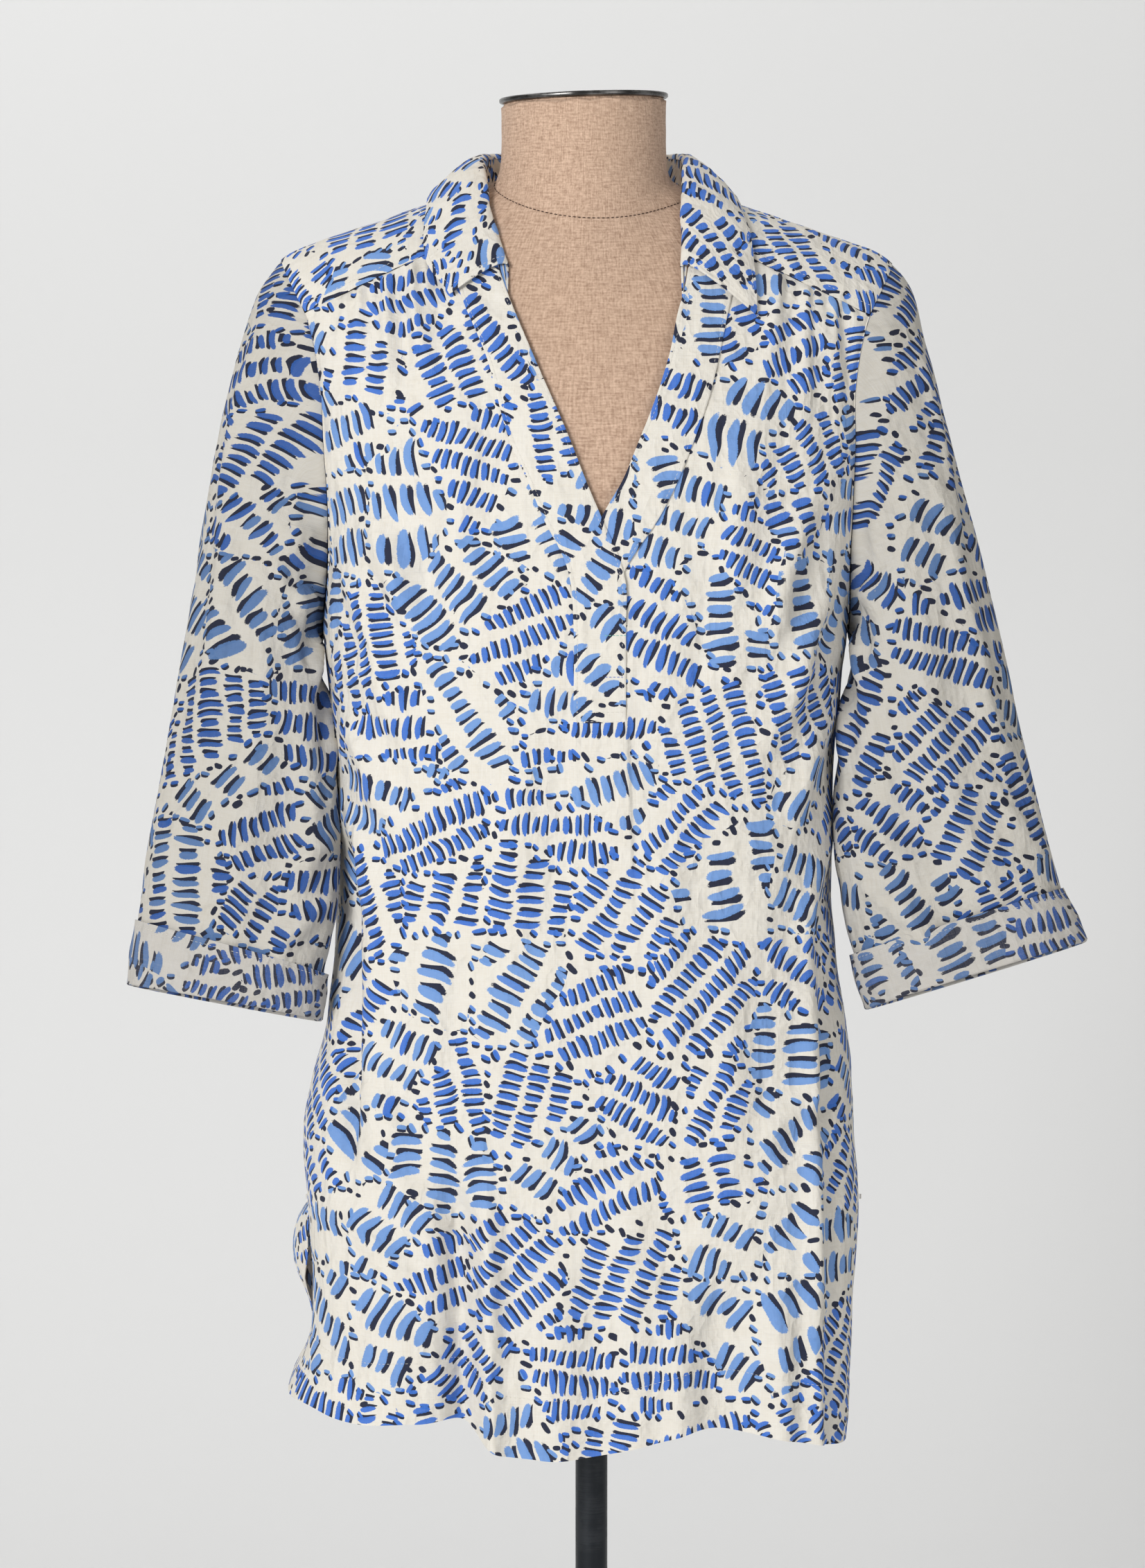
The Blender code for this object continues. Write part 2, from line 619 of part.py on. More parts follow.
def climb_at(angle, side, top_z):
    """How far up its panel an armhole point lies: 0 at the underarm and 1 at the yoke seam."""
    end = armhole(np.array(angle), side)
    return (end[2] - UNDERARM_Z) / (top_z(end[0]) - UNDERARM_Z)


def upper_rows(start_x, side, y_sign, shares, angles, top_z):
    """Rows from the underarm to the yoke seam, which fan out between centre and armhole."""
    shares = np.array(shares)
    rows = []
    for angle in angles:
        end = armhole(np.array(angle), side)
        own, other = climb_at(angle, side, top_z), climb_at(angle, -side, top_z)
        if angle == angles[-1]:
            own = other = 1.0
        climb = own + (other - own) * (1 - shares) ** 2 / 2
        z = np.full_like(shares, end[2])
        for _ in range(6):
            begin = start_x(z[0])
            x = begin + (end[0] - begin) * shares
            z = UNDERARM_Z + (top_z(x) - UNDERARM_Z) * climb
        row = points(x, surface_y(x, z, y_sign), z)
        row[-1] = end
        rows.append(row)
    return rows


def panel_wall(grid, relief, edges, side, angles):
    """Outer and inner points of a panel: its surface with the folds, and the same moved in."""
    grid = drawn_in(grid, edges)
    normal = surface_normal(grid, panel_reach(grid))
    normal[LOWER_ROWS + 1:, -1] = at_angles(armhole_normals(side)[0], angles)[1:]
    height = relief(grid[..., 0], grid[..., 2])
    side_fade = np.ones(grid.shape[:2])
    side_fade[:, -1] = 0.0
    outer = grid + normal * (height * side_fade)[..., None]
    return outer, outer - normal * CLOTH


def panel_reach(grid):
    """Half width of each row's section, a little past its last point where the side is free."""
    last = np.abs(grid[:, -1:, 0])
    body = half_width(grid[..., 0], grid[..., 2])
    return np.where(grid[..., 2] < SLIT_TOP_Z, last, body)


def front():
    """The front panel, with its slash, gathers and box pleat."""
    halves = []
    for side, name in ((-1, "right"), (1, "left")):
        rows = lower_rows(SLASH_X, side, -1, FRONT_SHARES)
        rows += upper_rows(lambda z, n=name: smooth(SLASH, n, z) if z > SLASH_FOOT_Z else SLASH_X,
                           side, -1, FRONT_SHARES, FRONT_ANGLES, front_seam_z)
        halves.append(panel_wall(np.array(rows), front_relief, ("top", "end"), side, FRONT_ANGLES))
    joined_rows = LOWER_ROWS + SLASH_ROW + 1
    return two_halves("front", halves, joined_rows)


def back():
    """The back panel, gathered under the yoke."""
    halves = []
    for side in (-1, 1):
        rows = lower_rows(0.0, side, 1, BACK_SHARES)
        rows += upper_rows(lambda z: 0.0, side, 1, BACK_SHARES, BACK_ANGLES, back_seam_z)
        halves.append(panel_wall(np.array(rows), back_relief, ("top", "end"), side, BACK_ANGLES))
    return two_halves("back", halves, len(halves[0][0]))


def two_halves(name, halves, joined_rows):
    """A panel of two halves that share their first column up to a row, and are apart above it."""
    coordinates = []
    faces = []
    for h, (outer, inner) in enumerate(halves):
        rows, columns = outer.shape[:2]
        base = sum(len(block) for block in coordinates)
        coordinates.append(np.concatenate([outer.reshape(-1, 3), inner.reshape(-1, 3)]))
        piece = wall_faces(rows, columns, False, rows * columns)
        seam = {r * columns for r in range(joined_rows)}
        seam |= {i + rows * columns for i in seam}
        faces += [tuple(i + base for i in face) for face in piece if not set(face) <= seam]
    return solid(name, np.concatenate(coordinates), faces, LOOKS["cloth"])


# ---------------------------------------------------------------- yoke and collar
def neck_seam(u):
    """The neck seam on the shoulder surface: u from -1 (right front) over 0 (back) to 1 (left front)."""
    name = np.where(u < 0, 1, 0)
    share = np.abs(u)
    x = np.where(name == 1, -smooth(NECK_SEAM, "right", share), smooth(NECK_SEAM, "left", share))
    y = smooth(NECK_SEAM, "y", share)
    return points(x, y, surface_z(x, y))


def neck_share_at_front_seam(side):
    """Where along the neck seam the front yoke seam meets it."""
    u = np.linspace(0.6, 1.0, 401)
    on_neck = neck_seam(side * u)
    above = on_neck[:, 2] - front_seam_z(on_neck[:, 0])
    return u[np.argmin(np.abs(above))]


def yoke_half(side):
    """Half of the yoke: rows from the neck out, columns from the front seam round to the back."""
    u_front = neck_share_at_front_seam(side)
    arm = armhole(YOKE_ANGLES, side)
    back_x = arm[-1, 0] * np.array(BACK_SHARES[::-1])
    seam_z = back_seam_z(back_x)
    seam = points(back_x, surface_y(back_x, seam_z, 1), seam_z)
    outer = np.concatenate([arm, seam[1:]])[:, :2]
    turn = len(arm) / len(outer)
    share = np.linspace(0.0, 1.0, len(outer))
    u = u_front * (1 - np.interp(share, (0.0, turn, 1.0), (0.0, 0.55, 1.0)))
    inner = neck_seam(side * u)[:, :2]
    shares = np.array(FRONT_SHARES[::SEAM_STEP])
    front_x = inner[0, 0] + (outer[0, 0] - inner[0, 0]) * shares
    front_y = surface_y(front_x, front_seam_z(front_x), -1)
    front_edge = np.stack([front_x, front_y], axis=-1)
    back_edge = inner[-1] + (outer[-1] - inner[-1]) * shares[:, None]
    v = shares[:, None, None]
    s = share[None, :, None]
    sides = (1 - v) * inner[None] + v * outer[None]
    ends = (1 - s) * front_edge[:, None] + s * back_edge[:, None]
    corners = ((1 - v) * (1 - s) * inner[0] + (1 - v) * s * inner[-1]
               + v * (1 - s) * outer[0] + v * s * outer[-1])
    plan = sides + ends - corners
    return points(plan[..., 0], plan[..., 1], surface_z(plan[..., 0], plan[..., 1]))


def yoke():
    """The shoulder yoke, a saddle from the front seams over the shoulders to the back seam."""
    right, left = yoke_half(-1), yoke_half(1)
    grid = np.concatenate([right, left[:, ::-1][:, 1:]], axis=1)
    grid = drawn_in(grid, ("foot", "top", "start", "end"))
    normal = surface_normal(grid)
    normal[-1, :YOKE_ARM_STEPS + 1] = at_angles(armhole_normals(-1)[0], YOKE_ANGLES)
    normal[-1, -YOKE_ARM_STEPS - 1:] = at_angles(armhole_normals(1)[0], YOKE_ANGLES[::-1])
    return wall("yoke", grid, grid - normal * CLOTH, LOOKS["cloth"])


def along_collar(count):
    """Places along the collar, closer together at its front ends."""
    t = np.linspace(-1.0, 1.0, count)
    return np.sign(t) * (1 - (1 - np.abs(t)) ** 1.25)


def sided(rows, u):
    """A table's right and left columns as one signed x."""
    share = np.abs(u)
    return np.where(u < 0, -smooth(rows, "right", share), smooth(rows, "left", share))


def roll_line(u):
    share = np.abs(u)
    return points(sided(ROLL, u), smooth(ROLL, "y", share), smooth(ROLL, "z", share))


def collar_stand():
    """The stand, from the neck seam up to the roll line. Its inside faces the neck."""
    u = along_collar(COLLAR_COLUMNS)
    foot = neck_seam(u)
    top = roll_line(u)
    lean = unit(top - foot)
    foot = foot + surface_normal(foot) * SEAM * 2
    top = top - lean * SEAM
    share = np.linspace(0.0, 1.0, STAND_ROWS)[:, None, None]
    grid = foot[None] + (top - foot)[None] * share
    normal = unit(np.cross(np.gradient(grid, axis=1), lean[None]))
    from_neck = (grid - (0.0, NECK_MIDDLE_Y, 0.0)) * (1, 1, 0)
    normal = normal * np.sign(np.sum(normal * from_neck))
    inner = grid - normal * COLLAR
    under = surface_z(inner[0, :, 0], inner[0, :, 1])
    inner[0, :, 2] = np.maximum(inner[0, :, 2], under + SEAM * 2)
    return wall("collar_stand", grid, inner, LOOKS["cloth"])


def collar_fall():
    """The fall: over the roll line, then down to its edge just above the yoke and fronts."""
    u = along_collar(COLLAR_COLUMNS)
    share = np.abs(u)
    start = roll_line(u)
    lean = unit(start - neck_seam(u))
    edge_plan_x = sided(FALL_EDGE, u)
    edge_y = smooth(FALL_EDGE, "y", share)
    on_panel = points(edge_plan_x, edge_y, surface_z(edge_plan_x, edge_y))
    edge = on_panel + surface_normal(on_panel) * smooth(FALL_EDGE, "lift", share)[:, None]
    rise = smooth(ROLL_RISE, "rise", share)[:, None]
    out = unit((edge - start) * (1, 1, 0))
    facing = surface_normal(on_panel)
    start = start + lean * SEAM / 2 - out * COLLAR
    first = start + unit(lean + facing * ROLL_TURN) * rise
    second = edge + (start - edge) * 0.42 + facing * rise * 0.75
    t = np.linspace(0.0, 1.0, FALL_ROWS)[:, None, None]
    grid = (1 - t) ** 3 * start + 3 * t * (1 - t) ** 2 * first
    grid = grid + 3 * t * t * (1 - t) * second + t ** 3 * edge
    normal = grid_normal(grid, closed=False)
    normal = normal * np.sign(np.sum(normal * lean[None], axis=-1).mean())
    normal[0] = -out
    return wall("collar_fall", grid, grid - normal * COLLAR, LOOKS["cloth"])


# ---------------------------------------------------------------- neck bands
def band(name, edges, rows, columns, lift):
    """A strip laid on the front between two edges."""
    low, high = edges["z"][0], edges["z"][-1]
    z = np.unique(np.concatenate([np.linspace(low, high, rows), edges["z"][-3:]]))[:, None]
    across = np.linspace(0.0, 1.0, columns)[None]
    outer_x = smooth(edges, "outer", z)
    inner_x = straight(edges, "inner", z)
    x = outer_x + (inner_x - outer_x) * across
    z = z + 0 * x
    surface = points(x, surface_y(x, z, -1), z)
    normal = surface_normal(surface)
    height = (front_relief(x, z) + lift(x, z))[..., None]
    foot = surface + normal * height
    return wall(name, foot + normal * STRIP, foot, LOOKS["cloth"])


def over_lift(x, z):
    """The over band rides over the end of the under band."""
    crossing = ease((1.190 - z) / 0.02) * ease((z - 1.100) / 0.015) * ease((x + 0.022) / 0.010)
    return LAID + crossing * (STRIP + LAID)


def under_lift(x, z):
    return np.full_like(x, LAID)


# ---------------------------------------------------------------- sleeves
def sleeve_rings(side, angles):
    """The sleeve as rings from the armhole to its end, in the armhole's angles."""
    rows = SLEEVE_RIGHT if side < 0 else SLEEVE_LEFT
    start = armhole(angles, side)
    cos = np.cos(np.radians(angles))
    sin = np.sin(np.radians(angles))
    power = 2 / SLEEVE_SQUARENESS
    along = -np.sign(cos) * np.abs(cos) ** power
    across = np.sign(sin) * np.abs(sin) ** power
    shoulder = armhole(np.array(180.0), side)
    underarm = armhole(np.array(0.0), side)
    middle = (shoulder + underarm) / 2
    flat = middle + (shoulder - underarm) / 2 * -cos[:, None]
    flat[:, 1] = -ARMHOLE_DEPTH * sin
    bow = start - flat
    rings = [start]
    count = len(rows["outer_x"])
    for k in range(count):
        outer = np.array([side * rows["outer_x"][k], rows["middle_y"][k], rows["outer_z"][k]])
        inner = np.array([side * rows["inner_x"][k], rows["middle_y"][k], rows["inner_z"][k]])
        blend = ease((k + 1) / 3)
        turn = (1 - blend) * -cos + blend * along
        ring = (outer + inner) / 2 + (outer - inner) / 2 * turn[:, None]
        forward = (1 - blend) * sin + blend * across
        ring[:, 0] -= side * rows["lean"][k] * np.maximum(forward, 0.0) * (1 - turn) / 2
        ring[:, 1] -= rows["depth"][k] * forward
        ring[:, 2] += rows["tilt"][k] * forward
        rings.append(ring + bow * ease(1 - (k + 1) / 4))
    return np.array(rings)


def sleeve_normal(rings, side):
    """Outward directions of the sleeve, shared with the panels at the armhole."""
    normal = ring_normal(rings)
    normal[0] = armhole_normals(side)[1]
    return normal


def sleeve(name, side):
    """A sleeve, open at the armhole and at its end."""
    rings = sleeve_rings(side, SLEEVE_ANGLES)
    normal = sleeve_normal(rings, side)
    away = unit(rings[1] - rings[0]) * SEAM
    rings[0] = rings[0] + away
    return wall(name, rings, rings - normal * CLOTH, LOOKS["cloth"], closed=True)


def cuff(name, side):
    """The sleeve's end turned up: a band round its last stretch."""
    rings = sleeve_rings(side, SLEEVE_ANGLES)
    normal = sleeve_normal(rings, side)
    top, foot = rings[-2], rings[-1]
    share = np.linspace(0.0, 1.0, 3)[:, None, None]
    grid = top[None] + (foot - top)[None] * share
    facing = unit(normal[-2][None] + (normal[-1] - normal[-2])[None] * share)
    foot_of_cuff = grid + facing * LAID
    return wall(name, foot_of_cuff + facing * CLOTH, foot_of_cuff, LOOKS["wrong side"], closed=True)


# ---------------------------------------------------------------- the dress form
def inside_form(x, y, z):
    """Whether a point lies in the dress form's torso or neck."""
    width = smooth(FORM, "width", z)
    reach = smooth(FORM, "front" if y < 0 else "back", z)
    share = abs(x) / width
    if share < 1:
        t = np.clip((z - UNDERARM_Z) / (ridge_z(x) - SHOULDER_DROP - UNDERARM_Z), 0.0, 1.0)
        full = (1 - share ** FORM_ROUNDING) ** (1 / FORM_ROUNDING)
        if abs(y) < reach * full * math.sqrt(1 - t * t):
            return True
    flare = NECK_FLARE * math.exp(-max(z - NECK_FOOT_Z, 0.0) / NECK_FLARE_HEIGHT)
    return z > 1.30 and math.hypot(x, y - NECK_MIDDLE_Y) < NECK_RADIUS + flare


def form_ring(z):
    """The form's outline at a height, found along rays from its middle."""
    ring = []
    for turn in np.arange(FORM_COLUMNS) * 2 * math.pi / FORM_COLUMNS:
        direction = (math.sin(turn), -math.cos(turn))
        near, far = 0.0, 0.25
        for _ in range(26):
            half = (near + far) / 2
            if inside_form(direction[0] * half, NECK_MIDDLE_Y + direction[1] * half, z):
                near = half
            else:
                far = half
        ring.append((direction[0] * near, NECK_MIDDLE_Y + direction[1] * near, z))
    return ring


def form_body():
    """The covered torso with its neck, solid, down to its flat foot."""
    rings = [form_ring(z) for z in FORM_HEIGHTS]
    rings.append([(x, y, NECK_TOP_Z + x * math.tan(NECK_TILT)) for x, y, _ in form_ring(NECK_TOP_Z)])
    coordinates = [p for ring in rings for p in ring]
    n = FORM_COLUMNS
    faces = [tuple(reversed(range(n))), tuple(range(len(coordinates) - n, len(coordinates)))]
    for r in range(len(rings) - 1):
        faces += [(r * n + c, r * n + (c + 1) % n, (r + 1) * n + (c + 1) % n, (r + 1) * n + c)
                  for c in range(n)]
    return solid("form_body", coordinates, faces, LOOKS["linen"])


def turned(name, profile, look, segments):
    """A turned solid from a profile of (radius, height) points that starts and ends on the axis."""
    mesh = bpy.data.meshes.new(name)
    work = bmesh.new()
    line = [work.verts.new((radius, 0.0, z)) for radius, z in profile]
    edges = [work.edges.new(pair) for pair in zip(line, line[1:])]
    bmesh.ops.spin(work, geom=line + edges, cent=(0, 0, 0), axis=(0, 0, 1), dvec=(0, 0, 0),
                   angle=2 * math.pi, steps=segments, use_merge=True)
    bmesh.ops.remove_doubles(work, verts=work.verts, dist=1e-6)
    return finished(name, mesh, work, look)


def form_cap():
    """The steel cap on the neck, tilted with the neck's top."""
    bevel = CAP_HEIGHT * 0.3
    profile = ((0.0, 0.0), (CAP_RADIUS - bevel, 0.0), (CAP_RADIUS, bevel), (CAP_RADIUS, CAP_HEIGHT - bevel),
               (CAP_RADIUS - bevel, CAP_HEIGHT), (0.0, CAP_HEIGHT))
    made = turned("form_cap", profile, LOOKS["cap"], 40)
    made.location = (0.0, NECK_MIDDLE_Y, NECK_TOP_Z + RIGID_GAP)
    made.rotation_euler = (0.0, -NECK_TILT, 0.0)
    return made


def form_pole():
    """The steel pole, from the base's boss to the form's foot."""
    low, high = BOSS_TOP_Z + RIGID_GAP, FORM_FOOT_Z - RIGID_GAP
    profile = ((0.0, low), (POLE_RADIUS, low), (POLE_RADIUS, high), (0.0, high))
    return turned("form_pole", profile, LOOKS["pole"], 20)


def form_base():
    """The round base plate with the boss that holds the pole."""
    profile = ((0.0, 0.0), (BASE_RADIUS, 0.0), (BASE_RADIUS, BASE_EDGE * 0.7),
               (BASE_RADIUS - 0.003, BASE_EDGE), (BOSS_RADIUS + 0.004, BASE_MIDDLE),
               (BOSS_RADIUS, BASE_MIDDLE + 0.004),
               (BOSS_RADIUS, BOSS_TOP_Z - 0.002), (BOSS_RADIUS - 0.002, BOSS_TOP_Z), (0.0, BOSS_TOP_Z))
    return turned("form_base", profile, LOOKS["pole"], 40)


# ---------------------------------------------------------------- assembly
LOOKS = {
    "cloth": material("printed_cloth", PRINTED_CLOTH, 0.85),
    "wrong side": material("cloth_wrong_side", WRONG_SIDE, 0.88),
    "linen": material("form_linen", FORM_LINEN, 0.9),
    "cap": material("cap_steel", CAP_STEEL, 0.3, 1.0),
    "pole": material("pole_steel", POLE_STEEL, 0.42, 0.7),
}


def main():
    front()
    back()
    yoke()
    collar_stand()
    collar_fall()
    band("band_over", BAND_OVER, 22, 5, over_lift)
    band("band_under", BAND_UNDER, 14, 4, under_lift)
    sleeve("sleeve_right", -1)
    sleeve("sleeve_left", 1)
    cuff("cuff_right", -1)
    cuff("cuff_left", 1)
    form_body()
    form_cap()
    for made in bpy.context.scene.objects:
        made.location.x += ASIDE
    form_pole()
    form_base()


main()
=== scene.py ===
"""A women's tunic top on a limbless dress form, with its pole and base: the pieces that show.

Metres, +Z up. The origin is the centre of the base on the floor, and the front faces -Y.
Sides are the wearer's: the right is at -X and the left at +X.
A cloth piece is a grid of points on the tunic's surface with its folds, and each point also has its
place in the flat cut, which carries the print along the cloth.
"""
import json
import math

import bmesh
import bpy
import numpy as np
from bpy.props import FloatProperty, FloatVectorProperty, PointerProperty
from mathutils import Matrix, Vector

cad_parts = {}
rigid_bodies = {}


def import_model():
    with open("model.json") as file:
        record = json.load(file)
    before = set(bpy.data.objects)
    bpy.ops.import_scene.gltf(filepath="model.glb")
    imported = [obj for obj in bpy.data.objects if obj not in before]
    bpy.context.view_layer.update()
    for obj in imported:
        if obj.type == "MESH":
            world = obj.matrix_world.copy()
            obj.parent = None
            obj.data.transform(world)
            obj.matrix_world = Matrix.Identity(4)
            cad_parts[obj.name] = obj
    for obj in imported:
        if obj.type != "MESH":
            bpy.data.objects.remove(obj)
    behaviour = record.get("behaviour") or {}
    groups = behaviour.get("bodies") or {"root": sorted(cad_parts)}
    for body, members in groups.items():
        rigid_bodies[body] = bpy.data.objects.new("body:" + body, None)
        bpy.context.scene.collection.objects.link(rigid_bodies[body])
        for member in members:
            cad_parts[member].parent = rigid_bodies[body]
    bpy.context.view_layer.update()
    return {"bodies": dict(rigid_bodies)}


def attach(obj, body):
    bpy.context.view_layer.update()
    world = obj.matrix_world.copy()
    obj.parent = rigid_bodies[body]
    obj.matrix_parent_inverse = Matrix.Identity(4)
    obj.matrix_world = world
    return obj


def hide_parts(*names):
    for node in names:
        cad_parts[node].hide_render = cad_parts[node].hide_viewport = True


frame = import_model()
BODY_NAME = next(iter(frame["bodies"]))

bl_info = {
    "name": "Tunic on a Dress Form",
    "version": (1, 0, 0),
    "blender": (4, 5, 0),
    "location": "View3D > Sidebar > Tunic",
    "description": "A printed tunic top worn on a linen dress form with a steel pole and base",
    "category": "Add Mesh",
}


MM = 1000.0                     # millimetres in a metre
NOT_LENGTHS = ("u", "angle_top", "angle_foot", "trough")     # columns that are shares or degrees


def table(columns, rows):
    """A short table as one array for each named column: lengths are written in mm and kept in metres."""
    return {name: np.array([row[i] for row in rows], float) / (1.0 if name in NOT_LENGTHS else MM)
            for i, name in enumerate(columns.split())}


# ---------------- the tunic's sizes
BODY = table("z right left front back", (
    (555, 205, 178, 130, 124),
    (585, 200, 180, 130, 124),
    (610, 188, 181, 129, 125),
    (650, 184, 183, 128, 126),
    (706, 187, 187, 127.5, 126),
    (755, 190.5, 184, 127, 125),
    (790, 185, 182.5, 126, 124),
    (825, 175.5, 179.5, 125.5, 123),
    (860, 171, 173.5, 125, 121),
    (900, 168.5, 169.5, 124, 119),
    (950, 167.5, 169, 123.5, 118),
    (1000, 168, 170, 123, 117),
    (1050, 171, 174, 123, 117.5),
    (1092, 174.5, 178, 123, 118),
    (1140, 174, 181, 123, 118),
    (1180, 177, 186, 123, 118),
    (1220, 183, 191, 123, 118),
    (1260, 189, 195, 123, 118),
    (1300, 201, 207, 123, 118),
    (1350, 231, 237, 123, 118),
    (1450, 240, 245, 123, 118),
))
SQUARENESS = 2.8                # exponent of the sections: 2 is an ellipse
HEM_SQUARENESS = 3.8            # the same at the hem, where the panels hang free
HEM_SQUARE_Z = (0.640, 0.840)   # heights between which the one becomes the other
UNDERARM_Z = 1.092
RIDGE_X = 0.195
RIDGE_Z = 1.349
RIDGE_SLOPE = 0.34
TIP_X = 0.185
TIP_ROUNDING = 7.0
ARMHOLE_DEPTH = 0.055
SLIT_TOP_Z = 0.706
SLIT = table("z right left gap", (
    (560, -24, -4, 6),
    (600, -6, -3, 5),
    (630, 6, -2, 4),
    (656, 17.5, -1, 3),
    (686, 13, 0, 1.2),
    (SLIT_TOP_Z * MM, 0, 0, 0),
    (720, 0, 0, 0),
))
HEM = table("x front back", (
    (-205, 583, 574),
    (-185, 584, 572),
    (-165, 578, 570),
    (-110, 578, 566),
    (-78, 576.5, 570),
    (-62, 562, 571),
    (-30, 555, 568),
    (10, 557, 565),
    (45, 565, 568),
    (80, 573, 572),
    (120, 568, 569),
    (150, 561, 566),
    (180, 553, 572),
))
FRONT_SEAM_Z = 1.395
BACK_SEAM_Z = 1.298
FRONT_SEAM_ANGLE = 131.0
BACK_SEAM_ANGLE = 229.0
BACK_CUT = (1.31, 0.37)         # where the back's print begins in the cloth
SLASH_X = 0.0115
PLACKET_X = 0.01                # middle of the stiffer strip, which ripples less
PLACKET_CALM = 0.03             # its half width
SLASH_FOOT_Z = 1.165
SLASH = table("z right left", (
    (1092, SLASH_X * MM, SLASH_X * MM),
    (1160, SLASH_X * MM, SLASH_X * MM),
    (1172, 8, 15.5),
    (1203, -4.5, 30.5),
    (1238, -19, 45),
    (1272, -33.8, 57.5),
    (1300, -45.8, 64.5),
    (1318.5, -53.5, 68),
    (1335, -59, 70),
    (1362, -67, 70),
))
BAND_OVER = table("z outer inner", (
    (1039, -7, 27.2),
    (1107, -7, 27.2),
    (1130, -8.5, 27.2),
    (1142, -11.2, 24.6),
    (1174.5, -27, 11),
    (1197, -36.4, 1.5),
    (1220, -47, -7.4),
    (1280, -64.3, -33.4),
    (1316.5, -79.8, -48.7),
    (1321.5, -81.5, -50.6),
    (1348, -88, -60),
))
BAND_UNDER = table("z outer inner", (
    (1125, 19, -3),
    (1144, 29, -1),
    (1174, 48.9, 11.2),
    (1198, 61.2, 25),
    (1222, 70.8, 35),
    (1250, 80.9, 46.2),
    (1280, 88.5, 55.7),
    (1311, 95.1, 62.4),
    (1316, 96.4, 64),
    (1345, 100, 70),
))
BANDS = {"band_over": BAND_OVER, "band_under": BAND_UNDER}
BAND_WIDTH = 0.03
BAND_STITCH = 0.07              # share of a band's width from its edge to its stitches
BOX_STITCH_Z = (1.0415, 1.0475)
BAND_THREAD_LIFT = 0.00008
THREAD_LIFT = 0.0001            # how far the middle of the other threads lies over the cloth
FALL_THREAD_LIFT = 0.00012
# The collar's lines run from u = 0 at the middle of the back to u = 1 at its front ends.
NECK_SEAM = table("u right left y", (
    (0, 0, 0, 58),
    (0.2, 35, 35, 50.5),
    (0.4, 60, 61, 30),
    (0.55, 68.5, 70.5, 4),
    (0.7, 70.5, 73, -24),
    (0.85, 66.8, 70.5, -53),
    (1.0, 49.5, 65, -83),
))
ROLL = table("u right left y z", (
    (0, 0, 0, 65, 1414),
    (0.2, 38, 38, 57, 1414),
    (0.4, 61.5, 62, 35, 1412.5),
    (0.55, 66.8, 67.2, 8, 1409),
    (0.7, 66, 66.8, -22, 1396),
    (0.85, 62, 65.5, -50, 1370),
    (1.0, 50, 64.8, -74.5, 1336.5),
))
FALL_EDGE = table("u right left y lift", (
    (0, 0, 0, 69, 15),
    (0.2, 48, 48, 62, 14.5),
    (0.4, 88, 87, 40, 10),
    (0.55, 101, 99, 8, 5),
    (0.7, 104, 106, -29, 4.6),
    (0.85, 104, 111, -59, 4.6),
    (1.0, 87.4, 113, -76.5, 5),
))
ROLL_RISE = table("u rise", ((0.0, 15), (0.4, 15), (0.7, 12), (0.85, 11), (1.0, 10.5)))
ROLL_TURN = 0.8                 # how far the fall leans outwards as it leaves the roll line
ROLL_INSET = 0.0015             # how far inside the roll line the fall begins
COLLAR_STITCH = 0.0032          # from the fall's edge to its stitches
SLEEVE_RIGHT = table("outer_x outer_z inner_x inner_z depth middle_y lean tilt", (
    (216.5, 1325, 178.5, 1080, 56, 0, 0, 0),
    (230, 1288, 178.5, 1062, 57, -2, 4, 0),
    (243, 1238, 177, 1038, 57.5, -5, 12, 0),
    (253, 1185, 175.5, 1010, 57, -10, 22, 0),
    (262, 1126, 174, 978, 55.5, -16, 30, 0),
    (272, 1066, 173.5, 945, 53, -23, 34, 0),
    (282.2, 1007.5, 173.5, 913, 50.5, -30, 32, 1.5),
    (291.5, 954, 174.5, 885, 48, -37, 24, 4),
    (299, 902, 176, 865, 45, -42, 12, 6.5),
    (304.5, 859, 177.5, 835, 43, -47, 4, 7.5),
))
SLEEVE_LEFT = table("outer_x outer_z inner_x inner_z depth middle_y lean tilt", (
    (219, 1325, 182, 1080, 56, 0, 0, 0),
    (230, 1288, 181.5, 1062, 57, -2, 4, 0),
    (243, 1238, 179.5, 1038, 57.5, -5, 12, 0),
    (257, 1185, 177.5, 1010, 57, -10, 22, 0),
    (272.2, 1126, 175.5, 978, 55, -16, 28, 0),
    (285.5, 1066.4, 174.5, 948, 52, -23, 26, 0),
    (297.5, 1011, 174.5, 923, 49, -30, 18, 1.5),
    (309.5, 965, 176.5, 900, 46, -37, 8, 4),
    (319.5, 923, 181.5, 879, 42.5, -42, 2, 6.5),
    (335.5, 888, 190.5, 843, 40, -47, 0, 7.5),
))
SLEEVE_SQUARENESS = 2.2
SLEEVE_ROUND = 132              # points round a sleeve or a cuff
SLEEVE_RADIUS = 0.055           # mean radius, which the small waves run round
FLAP_TOP_Z = 1.041
FLAP_FADE_Z = 0.860
FLAP_FADE = 0.14
FLAP_HEIGHT = 0.0026
FLAP = table("z right left", (
    (850, -11, 41),
    (920, -9.5, 33),
    (1041, -8, 28.5),
))
FLAP_SIDE = 0.0022
FOLD_END = 0.35                 # share of a fold's length over which it rises and fades
HEM_FOLD_Z = 0.6                # folds that end below this height run out through the hem

